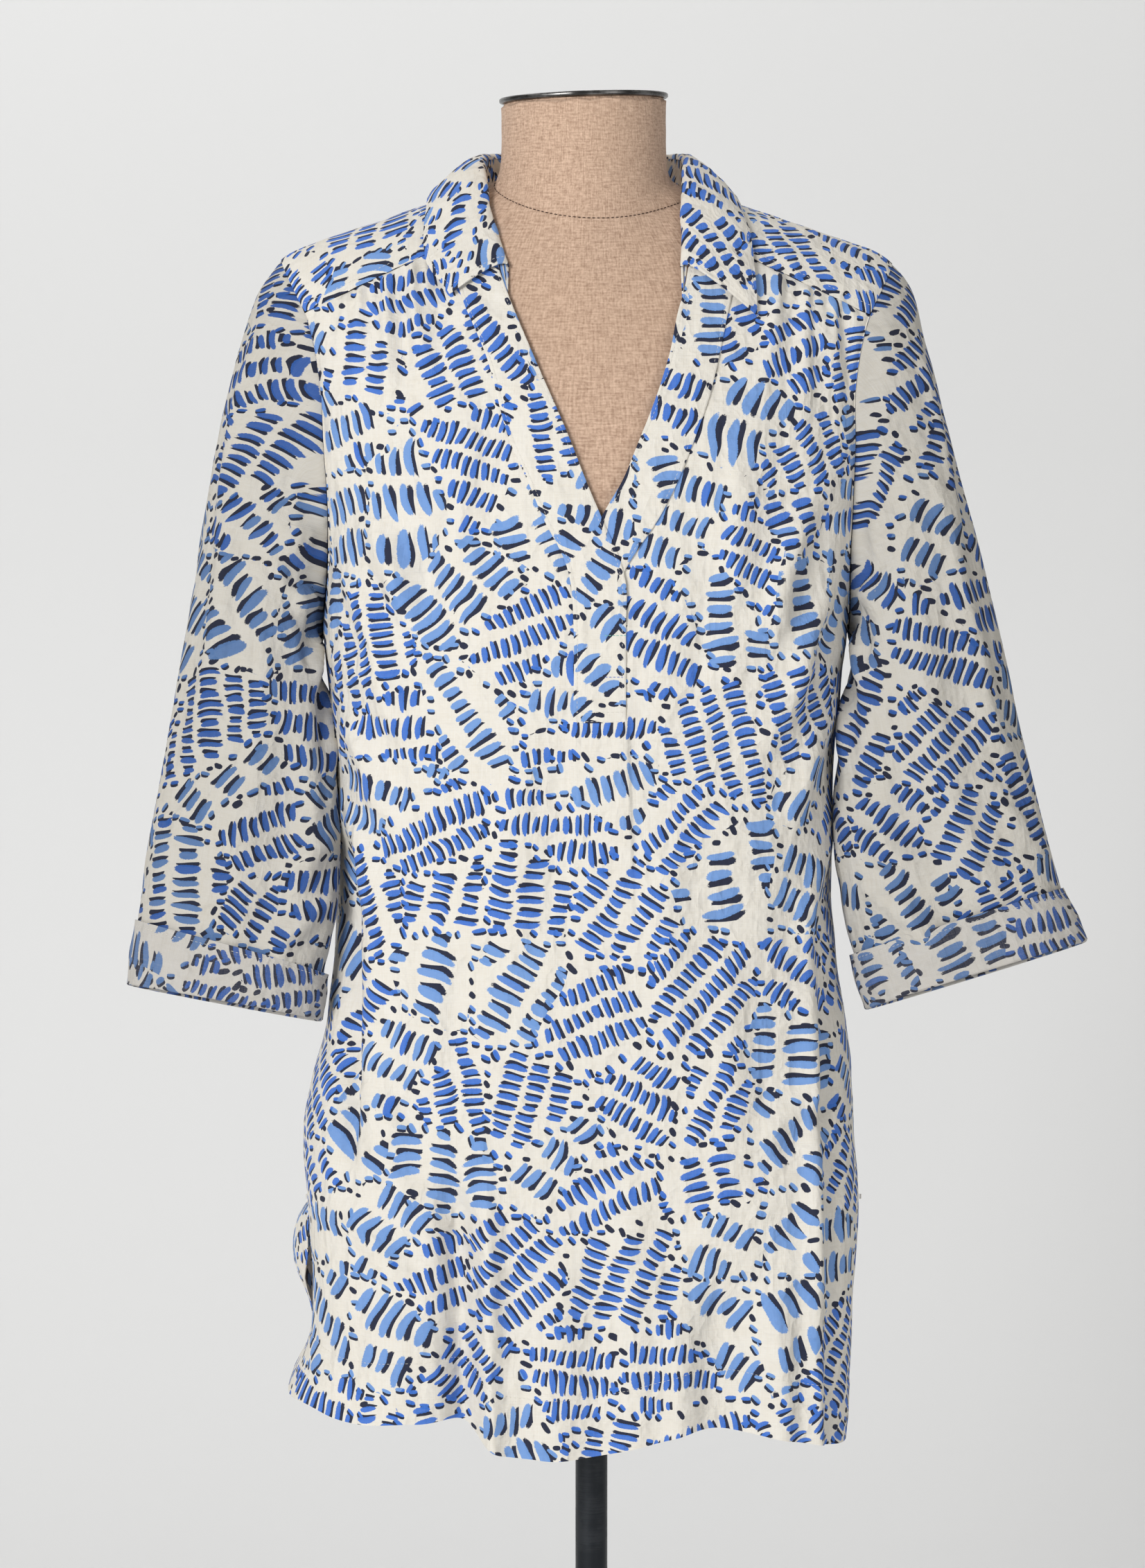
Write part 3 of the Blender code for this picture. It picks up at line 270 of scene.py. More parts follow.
# Folds of a panel: the ends and bend of the middle line, the half width, the height and the trough beside it.
FRONT_FOLDS = table("x_top z_top x_foot z_foot bend width height trough", (
    (-158, 990, -157, 710, 0, 7.5, -11, 0),
    (-140, 950, -140, 740, 2, 11, 3, 0.3),
    (144, 960, 154, 550, 2, 6.5, 5, 0.6),
    (-88, 770, -79, 550, 0, 11, -12, 0),
    (-64, 760, -60, 550, 0, 7.5, 6, 0),
    (95, 700, 98, 550, 0, 24, -7, 0),
    (-125, 670, -130, 550, 0, 20, 4, 0),
    (-150, 1085, -115, 1020, 5, 12, 4, 0.5),
    (153, 1090, 120, 1010, -5, 12, 4, 0.5),
    (-165, 730, -120, 660, 4, 10, 3.5, 0.6),
    # the soft creases
    (-145, 1190, -118, 1090, 6, 9, 5.1, 0.7),
    (-160, 1145, -128, 1055, 5, 8, 4.4, 0.7),
    (-162, 1050, -132, 970, 4, 8, 4.1, 0.6),
    (-162, 990, -138, 900, 3, 7, 3.7, 0.6),
    (150, 1190, 124, 1080, -6, 9, 5.1, 0.7),
    (164, 1130, 134, 1040, -5, 8, 4.4, 0.7),
    (165, 1050, 136, 960, -4, 8, 4.1, 0.6),
    (164, 960, 142, 880, -3, 7, 3.4, 0.6),
    (-78, 1270, -92, 1120, 4, 13, 3.1, 0.5),
    (-102, 1230, -108, 1090, 3, 11, -2.7, 0),
    (108, 1250, 98, 1100, -3, 13, 2.9, 0.5),
    (85, 1170, 76, 1030, -2, 12, -2.2, 0),
    (-45, 1050, -52, 860, 3, 16, 2.4, 0.5),
    (52, 990, 60, 800, -3, 16, 2.4, 0.5),
    (88, 920, 94, 720, 3, 13, 2.7, 0.5),
    (-98, 930, -102, 760, -3, 13, 2.7, 0.5),
    (-148, 800, -115, 755, 3, 8, 3.7, 0.6),
    (-150, 770, -108, 715, 4, 8, 3.1, 0.6),
    (150, 800, 115, 750, -3, 9, 3.1, 0.6),
    (28, 760, 33, 580, 0, 14, 2.7, 0.5),
    (-15, 710, -18, 550, 0, 16, 3.7, 0.4),
    (62, 670, 64, 550, 0, 11, 4.1, 0.4),
    (128, 680, 130, 550, 0, 11, 4.4, 0.4),
))
BACK_FOLDS = table("x_top z_top x_foot z_foot bend width height trough", (
    (-145, 960, -150, 660, 0, 12, -6, 0),
    (140, 930, 148, 600, 0, 12, -6, 0),
    (-60, 820, -70, 560, 0, 22, 6, 0),
    (55, 780, 65, 560, 0, 24, 5, 0),
    (153, 1080, 115, 1010, -5, 14, 4, 0.5),
    (-153, 1080, -115, 1010, 5, 14, 4, 0.5),
    (150, 1180, 118, 1070, -6, 10, 3, 0.6),
    (-148, 1170, -120, 1080, 6, 10, 3, 0.6),
    (160, 1030, 130, 950, -4, 9, 2.4, 0.6),
    (-160, 1040, -128, 940, 4, 9, 2.6, 0.6),
    (35, 1080, 30, 880, 3, 18, 1.8, 0.5),
    (-38, 1020, -30, 820, -3, 18, 1.8, 0.5),
    (95, 1000, 102, 760, 3, 15, 2.2, 0.5),
    (-100, 980, -106, 740, -3, 15, 2, 0.5),
    (5, 760, 2, 550, 0, 20, 3, 0.4),
    (108, 730, 112, 550, 0, 15, 2.8, 0.4),
    (-112, 720, -118, 550, 0, 16, 2.6, 0.4),
))
# Gathers under the yoke: where each begins on the seam, its lean, length, half width and height.
FRONT_GATHERS = table("x lean length width height", (
    (-106, 10, 94, 3.4, 4.2),
    (-114.5, 12, 121, 3.8, 6.3),
    (-122.5, 6, 77, 3.4, 4.7),
    (-130.5, 4, 138, 4, 6.8),
    (-139, 0, 88, 3.4, 5),
    (-147, -4, 110, 3.7, 5.7),
    (-156, -6, 66, 3.4, 3),
    (129, -12, 110, 3.8, 3.9),
    (137.5, -6, 77, 3.4, 3.1),
    (146, -3, 127, 3.9, 4.3),
    (155, 2, 83, 3.5, 3.1),
    (164, 4, 105, 3.8, 3.4),
))
BACK_GATHERS = table("x lean length width height", tuple(
    (side * (45 + 10.5 * k), side * (4 - k), 70 + 20 * (k % 3), 3.6, 1.8 + 0.4 * (k % 2))
    for side in (-1, 1) for k in range(10)))
# Creases round a sleeve: the angle (90 is its front) and the place down the arm of both ends.
SLEEVE_FOLDS = table("angle_top down_top angle_foot down_foot width height trough", (
    (30, 20, 62, 130, 8, 4.8, 0.7),
    (40, 10, 84, 100, 7, 3.9, 0.7),
    (22, 50, 50, 190, 8, 4.2, 0.7),
    (62, 0, 98, 90, 7.5, 2.8, 0.6),
    (96, 100, 100, 340, 12, 3.6, 0.5),
    (128, 60, 134, 300, 11, 2.8, 0.5),
    (70, 160, 64, 400, 10, 3.4, 0.5),
    (48, 220, 84, 300, 8, 3.1, 0.7),
    (38, 260, 74, 350, 8, 3.4, 0.7),
    (112, 240, 138, 310, 8, 2.2, 0.6),
    (150, 20, 140, 160, 9, 2.5, 0.5),
    (200, 20, 214, 160, 10, 2.8, 0.5),
    (236, 40, 250, 220, 11, 3.4, 0.5),
    (300, 20, 276, 140, 9, 4.5, 0.7),
    (330, 50, 300, 200, 9, 4.2, 0.7),
    (286, 180, 292, 400, 11, 3.4, 0.5),
    (250, 240, 282, 310, 9, 2.8, 0.6),
    (320, 240, 286, 330, 9, 3.4, 0.6),
))
SIDE_DIP = (0.0030, 0.0008)     # width and depth of the valley along a side or sleeve seam
HEM_DEPTH = 0.040
HEM_START_Z = 0.57              # where the search for the hem begins
# The front's loose corner at the wearer's left slit.
CORNER_TOP_Z = 0.66
CORNER_FADE = 0.09
CORNER_FORWARD = 0.010
CORNER_FRONT_Y = -0.024
CORNER_TURN_UP = 0.016
CORNER_FOLD_Z = 0.62
CORNER_DEPTH = 0.045
# The back panel's edge at the wearer's right slit, which curls forward.
CURL_REACH_Y = 0.040
CURL_IN = 0.75
CURL_BACK = 0.4
SHEET_WALL = 0.0006             # the shown cloth's thickness
STAND_WALL = 0.0012
FALL_WALL = 0.0013
BAND_STAND = 0.0017             # how far a band's outside stands over the front
BAND_WALL = BAND_STAND - 0.0002
CUFF_WALL = 0.0007
CUFF_STAND = 0.0020             # how far a cuff's outside stands over the sleeve
CUFF_TURN = 0.014               # how far a cuff reaches up inside the sleeve
CUFF_INSET = 0.0016             # how far inside the sleeve's end it lies there
CUFF_LENGTH = 0.985             # the cuff's foot, as a share of the sleeve's last stretch
SLEEVE_CUT_Y = 1.9              # where the sleeves' tops lie in the cloth, and the cuffs' below
CUFF_CUT_Y = 1.48

# ---------------- the dress form's sizes
FORM = table("z width front back", (
    (680, 166, 100, 112),
    (740, 168, 104, 116),
    (800, 158, 100, 108),
    (860, 140, 93, 94),
    (920, 125, 89, 85),
    (980, 120, 93, 86),
    (1040, 130, 108, 98),
    (1092, 146, 119, 112),
    (1150, 160, 119.5, 114),
    (1200, 166, 119.5, 114.5),
    (1260, 170, 119.5, 114.5),
    (1400, 186, 119.5, 114.5),
))
FORM_FOOT_Z = 0.680
FORM_ROUNDING = 2.3
SHOULDER_DROP = 0.0026
NECK_RADIUS = 0.0550
NECK_MIDDLE_Y = -0.006
NECK_TOP_Z = 1.4485
NECK_FILLET = 0.013             # how softly the torso runs into the neck
NECK_TILT = math.radians(2.0)
NECK_FOOT_Z = 1.28
NECK_SEAM_SIDE_Z = 1.393
NECK_SEAM_LEAN = 0.41           # how steeply the seam falls towards the front
NECK_SEAM_REACH = 0.058         # the neck's radius at the seam
NECK_SEAM_TILT = 0.0035         # how much lower the seam lies on the wearer's left
FORM_ROUND = 160                # points round the form
# Rows up the form, closer together towards the neck's top: from, to and how many.
FORM_ROWS = ((FORM_FOOT_Z, 1.25, 60), (1.256, 1.34, 26), (1.3425, NECK_TOP_Z - 0.008, 56),
             (NECK_TOP_Z - 0.0075, NECK_TOP_Z, 16))
ASIDE = -0.0055                 # how far the tunic and the form stand aside of the pole, to the right
CAP_RADIUS = 0.0565
CAP_HEIGHT = 0.0036
POLE_RADIUS = 0.0110
BASE_RADIUS = 0.170
BASE_EDGE = 0.007
BASE_MIDDLE = 0.011
BOSS_RADIUS = 0.021
BOSS_TOP_Z = 0.040
RIGID_GAP = 0.0003

FULL_TURN = 2 * math.pi
UP = np.array((0.0, 0.0, 1.0))
IN_PLAN = np.array((1, 1, 0))
BEFORE = -1                     # y_sign of the front
BEHIND = 1                      # y_sign of the back
MADE = {}                       # the outer grids of finished pieces, for the stitching


# ---------------- settings
def length_setting(label, text, value, least=0.0, precision=4):
    """A setting in metres."""
    return FloatProperty(name=label, description=text, default=value, min=least, unit="LENGTH",
                         precision=precision)


def number_setting(label, text, value, least=0.0):
    """A setting without a unit."""
    return FloatProperty(name=label, description=text, default=value, min=least)


def colour_setting(label, text, value):
    """A colour setting, as linear light."""
    return FloatVectorProperty(name=label, description=text, default=value, subtype="COLOR", min=0, max=1)


class TunicSizes(bpy.types.PropertyGroup):
    """Sizes of the cloth, its folds and its stitches."""
    fold_strength: number_setting("Fold strength", "Height of the soft creases, 1 as in the tables", 1.50)
    rumple: length_setting("Rumple", "Height of the small waves in the cloth", 0.00085, precision=5)
    stitch_length: length_setting("Stitch length", "Length of one stitch", 0.0023, 0.0005)
    stitch_gap: length_setting("Stitch gap", "Gap from one stitch to the next", 0.0008, 0.0001)
    thread: length_setting("Thread", "Thickness of the sewing thread", 0.00032, 0.0001, 5)
    patch: length_setting("Print patch", "Size of one patch of brush strokes", 0.060, 0.01)
    stroke_row: length_setting("Stroke row", "Distance between rows of strokes", 0.0225, 0.004)
    stroke_step: length_setting("Stroke step", "Distance between strokes in a row", 0.0088, 0.002)


class TunicColours(bpy.types.PropertyGroup):
    """Colours of the print, the thread, the linen and the steel, as linear light."""
    cream: colour_setting("Cream", "Ground of the print", (0.780, 0.748, 0.682))
    mid_blue: colour_setting("Mid blue", "Main brush strokes", (0.034, 0.150, 0.590))
    light_blue: colour_setting("Light blue", "Lighter brush strokes", (0.160, 0.315, 0.660))
    navy: colour_setting("Navy", "Dark edge of the strokes", (0.0045, 0.010, 0.038))
    thread: colour_setting("Thread", "Sewing thread", (0.800, 0.770, 0.700))
    linen: colour_setting("Linen", "Light threads of the form's cover", (0.760, 0.548, 0.406))
    linen_dark: colour_setting("Brown thread", "Dark threads of the form's cover", (0.235, 0.130, 0.080))
    steel: colour_setting("Cap steel", "The cap on the neck", (0.062, 0.060, 0.058))
    pole: colour_setting("Pole steel", "The pole and the base", (0.014, 0.017, 0.021))


class StudioSettings(bpy.types.PropertyGroup):
    """The camera, the lights and the ground."""
    camera_distance: length_setting("Camera distance", "From the form's middle to the camera", 3.0, 0.5)
    camera_height: length_setting("Camera height", "Height of the camera", 1.25)
    aim_height: length_setting("Aim height", "Height that the camera looks at", 0.990)
    aside: length_setting("Aside", "Place of the camera, towards the wearer's left", -0.0130, -1.0)
    lens: number_setting("Lens", "Focal length for a 36 mm tall sensor", 101.8, 10.0)
    key: number_setting("Key light", "Power of the large front light", 183.0)
    fill: number_setting("Fill light", "Power of the weaker side light", 17.0)
    sky: number_setting("Sky light", "Strength of the even light all round", 0.335)


def sizes():
    return bpy.context.scene.tunic_sizes


def colours():
    return bpy.context.scene.tunic_colours


# ---------------- curves
def curve(knots, values, at):
    """A smooth curve through the values at the knots, read at other places."""
    slope = np.gradient(values, knots, axis=0)
    at = np.clip(at, knots[0], knots[-1])
    i = np.clip(np.searchsorted(knots, at) - 1, 0, len(knots) - 2)
    shape = np.shape(at) + (1,) * (values.ndim - 1)
    step = np.reshape(knots[i + 1] - knots[i], shape)
    t = np.reshape(at - knots[i], shape) / step
    start = (1 + 2 * t) * (1 - t) ** 2 * values[i] + t * (1 - t) ** 2 * step * slope[i]
    end = t * t * (3 - 2 * t) * values[i + 1] - t * t * (1 - t) * step * slope[i + 1]
    return start + end


def smooth(rows, column, at):
    """A smooth curve through a table's rows: its named column at places along its first column."""
    return curve(next(iter(rows.values())), rows[column], at)


def straight(rows, column, at):
    """The same, with straight runs between the rows."""
    return np.interp(at, next(iter(rows.values())), rows[column])


def ease(value):
    """0 below 0, 1 above 1, and a soft step between."""
    t = np.clip(value, 0.0, 1.0)
    return t * t * (3 - 2 * t)


def unit(vectors):
    """Vectors along the last axis, brought to length 1."""
    return vectors / np.maximum(np.linalg.norm(vectors, axis=-1, keepdims=True), 1e-9)


def points(x, y, z):
    """Three coordinate arrays as one array of points."""
    return np.stack(np.broadcast_arrays(x, y, z), axis=-1).astype(float)


def running(steps):
    """The sums of some steps so far, from 0 on."""
    return np.concatenate([[0.0], np.cumsum(steps)])


def run_along(grid, axis):
    """Distance run along a grid's rows or columns."""
    steps = np.linalg.norm(np.diff(grid, axis=axis), axis=-1)
    first = np.zeros_like(np.take(steps, [0], axis=axis))
    return np.cumsum(np.concatenate([first, steps], axis=axis), axis=axis)


def from_ends(grid, axis):
    """Distance to the nearer end of a grid's rows or columns."""
    run = run_along(grid, axis)
    return np.minimum(run, np.take(run, [-1], axis=axis) - run)


def through(rings, count):
    """More rings between some: smooth curves through each column, evenly spaced along the tube."""
    run = np.linalg.norm(np.diff(rings, axis=0), axis=-1).mean(axis=1)
    knots = running(run)
    return curve(knots, rings, np.linspace(0.0, knots[-1], count))


def bell(distance, width):
    """1 at no distance, and fading to both sides."""
    return np.exp(-(distance / width) ** 2)


def uneven(at, rate, drift, drift_rate):
    """A ripple from -1 to 1 along a line, with steps that are not quite even."""
    return np.sin(at * rate + drift * np.sin(at * drift_rate))


def waves(across, up, seed, longest=0.075, lean=0.35):
    """Small uneven waves of a cloth, about -1 to 1 high, that run mostly up and down it."""
    draw = np.random.default_rng(seed)
    total = np.zeros(np.broadcast(across, up).shape)
    for _ in range(14):
        turn = draw.normal(0.0, lean)
        length = longest * draw.uniform(0.25, 1.0)
        phase = draw.uniform(0, FULL_TURN, 3)
        along = across * math.cos(turn) + up * math.sin(turn)
        other = up * math.cos(turn) - across * math.sin(turn)
        swell = np.sin(other * FULL_TURN / (length * 3.4) + phase[1])
        wave = np.sin(along * FULL_TURN / length + phase[0] + 1.3 * swell)
        total = total + wave * (0.55 + 0.45 * swell)
    return total / 5.0


# ---------------- the tunic's surface
def half_width(x, z):
    """Half the body's width on the side where x lies."""
    return np.where(x < 0, smooth(BODY, "right", z), smooth(BODY, "left", z))


def ridge_z(x):
    """Height of the shoulder line."""
    past_tip = np.maximum(np.abs(x) - TIP_X, 0.0)
    return RIDGE_Z + RIDGE_SLOPE * (RIDGE_X - np.abs(x)) - TIP_ROUNDING * past_tip ** 2


def squareness(z):
    """The exponent of the section at a height."""
    low, high = HEM_SQUARE_Z
    return SQUARENESS + (HEM_SQUARENESS - SQUARENESS) * ease((high - z) / (high - low))


def fullness(x, z, width=None):
    """How full the section is at x: 1 at the centre and 0 at the side."""
    reach = half_width(x, z) if width is None else width
    share = np.clip(np.abs(x) / reach, 0.0, 1.0)
    power = squareness(z)
    return (1 - share ** power) ** (1 / power)


def arch(x, z):
    """How the depth closes from the underarm up to the shoulder line."""
    t = np.clip((z - UNDERARM_Z) / (ridge_z(x) - UNDERARM_Z), 0.0, 1.0)
    return np.sqrt(1 - t * t)


def depth(z, y_sign):
    """Depth of the body towards the front (-1) or the back (+1)."""
    return np.where(np.asarray(y_sign) < 0, smooth(BODY, "front", z), smooth(BODY, "back", z))


def surface_y(x, z, y_sign):
    """How far out the front's or the back's surface lies."""
    return y_sign * depth(z, y_sign) * fullness(x, z) * arch(x, z)


def surface_z(x, y):
    """Height of the shoulder surface over a point in plan."""
    y_sign = np.where(np.asarray(y) < 0, -1.0, 1.0)
    z = ridge_z(x) - 0.02
    for _ in range(12):
        share = np.clip(np.abs(y) / (depth(z, y_sign) * fullness(x, z)), 0.0, 1.0)
        z = UNDERARM_Z + np.sqrt(1 - share ** 2) * (ridge_z(x) - UNDERARM_Z)
    return z


def surface_normal(p, width=None):
    """Outward direction of the body's surface at points p."""
    def inside(q):
        x, y, z = q[..., 0], q[..., 1], q[..., 2]
        y_sign = np.where(p[..., 1] < 0, -1.0, 1.0)
        reach = depth(z, y_sign) * fullness(x, z, width) * arch(x, z)
        return reach ** 2 - y ** 2
    step = 0.0004
    slopes = []
    for axis in range(3):
        move = np.zeros(3)
        move[axis] = step
        slopes.append(inside(p - move) - inside(p + move))
    return unit(np.stack(slopes, axis=-1))


def armhole(angle, side):
    """The armhole: angle 0 at the underarm, 90 at the front, 180 on the shoulder, 270 at the back."""
    half = np.radians(angle) / 2
    rise = np.sin(half)
    y = -ARMHOLE_DEPTH * np.sin(2 * half)
    x = side * 0.18 * np.ones_like(rise)    # a first guess, which the rounds below settle
    for _ in range(12):
        z = UNDERARM_Z + rise ** 2 * (ridge_z(x) - UNDERARM_Z)
        cheek = 2 * ARMHOLE_DEPTH / depth(z, y) * rise / np.sqrt(1 + rise ** 2)
        x = side * half_width(x, z) * (1 - cheek ** SQUARENESS) ** (1 / SQUARENESS)
    return points(x, y, z)


SEAM_ENDS = {angle: {side: armhole(np.array(angle), side) for side in (-1, 1)}
             for angle in (FRONT_SEAM_ANGLE, BACK_SEAM_ANGLE)}


def seam_z(x, centre_z, angle):
    """A yoke seam's height: straight in front view, from the centre to the armhole."""
    right, left = SEAM_ENDS[angle][-1], SEAM_ENDS[angle][1]
    end_z = np.where(x < 0, right[2], left[2])
    end_x = np.where(x < 0, -right[0], left[0])
    return centre_z + (end_z - centre_z) * np.abs(x) / end_x


def front_seam_z(x):
    return seam_z(x, FRONT_SEAM_Z, FRONT_SEAM_ANGLE)


def back_seam_z(x):
    return seam_z(x, BACK_SEAM_Z, BACK_SEAM_ANGLE)


# ---------------- folds
def crease(distance, width, trough):
    """A soft ridge with a lower trough beside it."""
    return bell(distance, width) - trough * bell(distance - 1.9 * width, 1.2 * width)


def fold_relief(folds, x, z):
    """Height of the long soft folds at a point of a panel."""
    total = np.zeros(np.broadcast(x, z).shape)
    for x_top, z_top, x_foot, z_foot, bend, width, height, trough in zip(*folds.values()):
        along = (z_top - z) / (z_top - z_foot)
        middle = x_top + (x_foot - x_top) * along + bend * np.sin(np.clip(along, 0, 1) * math.pi)
        ends = ease(along / FOLD_END) * ease((1.0 - along) / FOLD_END + (z_foot < HEM_FOLD_Z))
        upright = (z_top - z_foot) / math.hypot(x_foot - x_top, z_top - z_foot)
        total = total + height * ends * crease((x - middle) * upright, width, trough)
    return total


def gather_relief(gathers, x, below_seam):
    """Height of the gathers, which run down from the yoke seam and fade unevenly."""
    total = np.zeros(np.broadcast(x, below_seam).shape)
    for start_x, lean, length, width, height in zip(*gathers.values()):
        down = below_seam / length
        spread = width * (1 + 1.3 * np.clip(down, 0, 1))
        fade = ease(below_seam / 0.006) * ease(1 - down) ** 1.3
        total = total + height * fade * crease(x - start_x - lean * down, spread, 0.8)
    return total


def flap_relief(x, z):
    """Height of the box pleat's flap."""
    inside = np.minimum(x - straight(FLAP, "right", z), straight(FLAP, "left", z) - x)
    fade = ease((z - FLAP_FADE_Z) / FLAP_FADE) * (z < FLAP_TOP_Z)
    return FLAP_HEIGHT * fade * ease(inside / FLAP_SIDE + 0.5)


def hem_relief(x, z, hem):
    """The turned hem: a doubled edge, pulled in a little along its stitches."""
    up = z - smooth(HEM, hem, x)
    doubled = 0.0004 * ease((HEM_DEPTH + 0.001 - up) / 0.002)
    pucker = 0.0005 * bell(up - HEM_DEPTH, 0.0022) * (1 + 0.6 * uneven(x, 780, 2, 97))
    return doubled - pucker


def seam_dip(distance, width=0.0026, deep=0.0007):
    """The little valley along a seam."""
    return -deep * bell(distance, width)


def panel_relief(x, z, y_sign):
    """All that stands out or in on the front or back panel."""
    if y_sign == BEFORE:
        below = front_seam_z(x) - z
        soft = fold_relief(FRONT_FOLDS, x, z) + gather_relief(FRONT_GATHERS, x, below)
        firm = flap_relief(x, z) + hem_relief(x, z, "front")
        beside = np.abs(x - PLACKET_X) - PLACKET_CALM
        calm = ease(beside / PLACKET_CALM) * 0.75 + 0.25
        seed = 11
    else:
        below = back_seam_z(x) - z
        soft = fold_relief(BACK_FOLDS, x, z) + gather_relief(BACK_GATHERS, x, below)
        firm = hem_relief(x, z, "back")
        calm, seed = 1.0, 12
    ripple = waves(x, z, seed) * sizes().rumple * calm
    return soft * sizes().fold_strength + firm + ripple + seam_dip(below)


# ---------------- meshes
def grid_normal(grid, closed=False):
    """Directions square to a grid of points, from its neighbours; the caller knows the side."""
    if closed:
        across = np.roll(grid, -1, axis=1) - np.roll(grid, 1, axis=1)
    else:
        across = np.gradient(grid, axis=1)
    return unit(np.cross(across, np.gradient(grid, axis=0)))


def facing(normal, reference):
    """The directions, turned round as a whole where they go against the reference."""
    return normal * np.sign(np.sum(normal * reference))


def skin_quads(rows, columns, closed):
    """Corners of a grid's faces, and the same corners in the grid of cut places."""
    wide = columns + 1 if closed else columns
    r, c = (a.reshape(-1) for a in np.meshgrid(np.arange(rows - 1), np.arange(wide - 1), indexing="ij"))
    low, high, turn = r * columns, (r + 1) * columns, (c + 1) % columns
    corners = np.stack([low + c, low + turn, high + turn, high + c], axis=1)
    places = np.stack([r * wide + c, r * wide + c + 1, (r + 1) * wide + c + 1, (r + 1) * wide + c], axis=1)
    return corners, places


def rim_runs(rows, columns, closed, skip_first_column):
    """The grid's open edges, as runs of corner and cut-place numbers."""
    wide = columns + 1 if closed else columns
    c = np.arange(wide)
    runs = [(r * columns + c % columns, r * wide + c) for r in (0, rows - 1)]
    if not closed:
        for c, start in ((0, skip_first_column), (columns - 1, 0)):
            r = np.arange(start, rows)
            runs.append((r * columns + c, r * wide + c))
    return runs


def wrapped(name, coordinates, faces, places, looks):
    """A mesh with its flat places as its UV map, and its materials."""
    mesh = bpy.data.meshes.new(name)
    mesh.from_pydata(coordinates, [], faces)
    mesh.uv_layers.new(name="cut").data.foreach_set("uv", places.astype(np.float32).ravel())
    for finish in looks:
        mesh.materials.append(finish)
    return mesh


def closed_up(mesh, merge, sharp_degrees):
    """Turns a closed mesh's faces outwards, and shades it smooth but for its sharp edges."""
    work = bmesh.new()
    work.from_mesh(mesh)
    if merge:
        bmesh.ops.remove_doubles(work, verts=work.verts, dist=2e-6)
    bmesh.ops.recalc_face_normals(work, faces=work.faces)
    if work.calc_volume(signed=True) < 0:
        bmesh.ops.reverse_faces(work, faces=work.faces)
    work.to_mesh(mesh)
    work.free()
    mesh.shade_smooth()
    mesh.set_sharp_from_angle(angle=math.radians(sharp_degrees))


def cloth(name, patches, looks, merge=False):
    """A closed piece from patches of (outer grid, inner grid, cut places, closed round, joined rows)."""
    coordinates, faces, wraps, slots = [], [], [], []
    for outer, inner, cut, closed, joined in patches:
        rows, columns = outer.shape[:2]
        base = sum(len(block) for block in coordinates)
        count = rows * columns
        corners, places = skin_quads(rows, columns, closed)
        middle = corners[len(corners) // 2]
        flat = outer.reshape(-1, 3)
        across = np.cross(flat[middle[1]] - flat[middle[0]], flat[middle[3]] - flat[middle[0]])
        outwards = np.dot(across, flat[middle[0]] - inner.reshape(-1, 3)[middle[0]]) > 0
        flip = slice(None) if outwards else slice(None, None, -1)
        cut_flat = cut.reshape(-1, 2)
        blocks = [(corners[:, flip] + base, cut_flat[places[:, flip]], 0),
                  (corners[:, ::-1][:, flip] + base + count, cut_flat[places[:, ::-1][:, flip]], 1)]
        for run, place in rim_runs(rows, columns, closed, max(joined - 1, 0)):
            quad = np.stack([run[:-1], run[1:], run[1:] + count, run[:-1] + count], axis=1) + base
            where = cut_flat[np.stack([place[:-1], place[1:], place[1:], place[:-1]], axis=1)]
            blocks.append((quad, where, 0))
        for block, where, slot in blocks:
            faces.append(block)
            wraps.append(where.reshape(-1, 2))
            slots.append(np.full(len(block), slot))
        coordinates += [flat, inner.reshape(-1, 3)]
    mesh = wrapped(name, np.concatenate(coordinates).tolist(), np.concatenate(faces).tolist(),
                   np.concatenate(wraps), looks)
    mesh.polygons.foreach_set("material_index", np.concatenate(slots).astype(np.int32))
    closed_up(mesh, merge, 55)
    return placed(name, mesh)


def placed(name, mesh, aside=ASIDE):
    """An object for the mesh, riding on the form's body."""
    mesh.transform(Matrix.Translation((aside, 0.0, 0.0)))
    made = bpy.data.objects.new(name, mesh)
    bpy.context.scene.collection.objects.link(made)
    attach(made, BODY_NAME)
    return made


def walled(outer, normal):
    """A sheet's outer grid and its inner one."""
    return outer, outer - normal * SHEET_WALL


# ---------------- shader arithmetic
def arithmetic(operation, turned=False):
    """A method that joins two values by a Math node, the other one first where turned."""
    def method(self, other):
        pair = (other, self) if turned else (self, other)
        return self.board.math(operation, *pair)
    return method


class Value:
    """A shader socket that takes part in arithmetic."""

    def __init__(self, board, socket):
        self.board = board
        self.socket = socket

    __add__ = __radd__ = arithmetic("ADD")
    __mul__ = __rmul__ = arithmetic("MULTIPLY")
    __sub__ = arithmetic("SUBTRACT")
    __rsub__ = arithmetic("SUBTRACT", turned=True)
    __truediv__ = arithmetic("DIVIDE")
    __pow__ = arithmetic("POWER")
    __gt__ = arithmetic("GREATER_THAN")
    __lt__ = arithmetic("LESS_THAN")


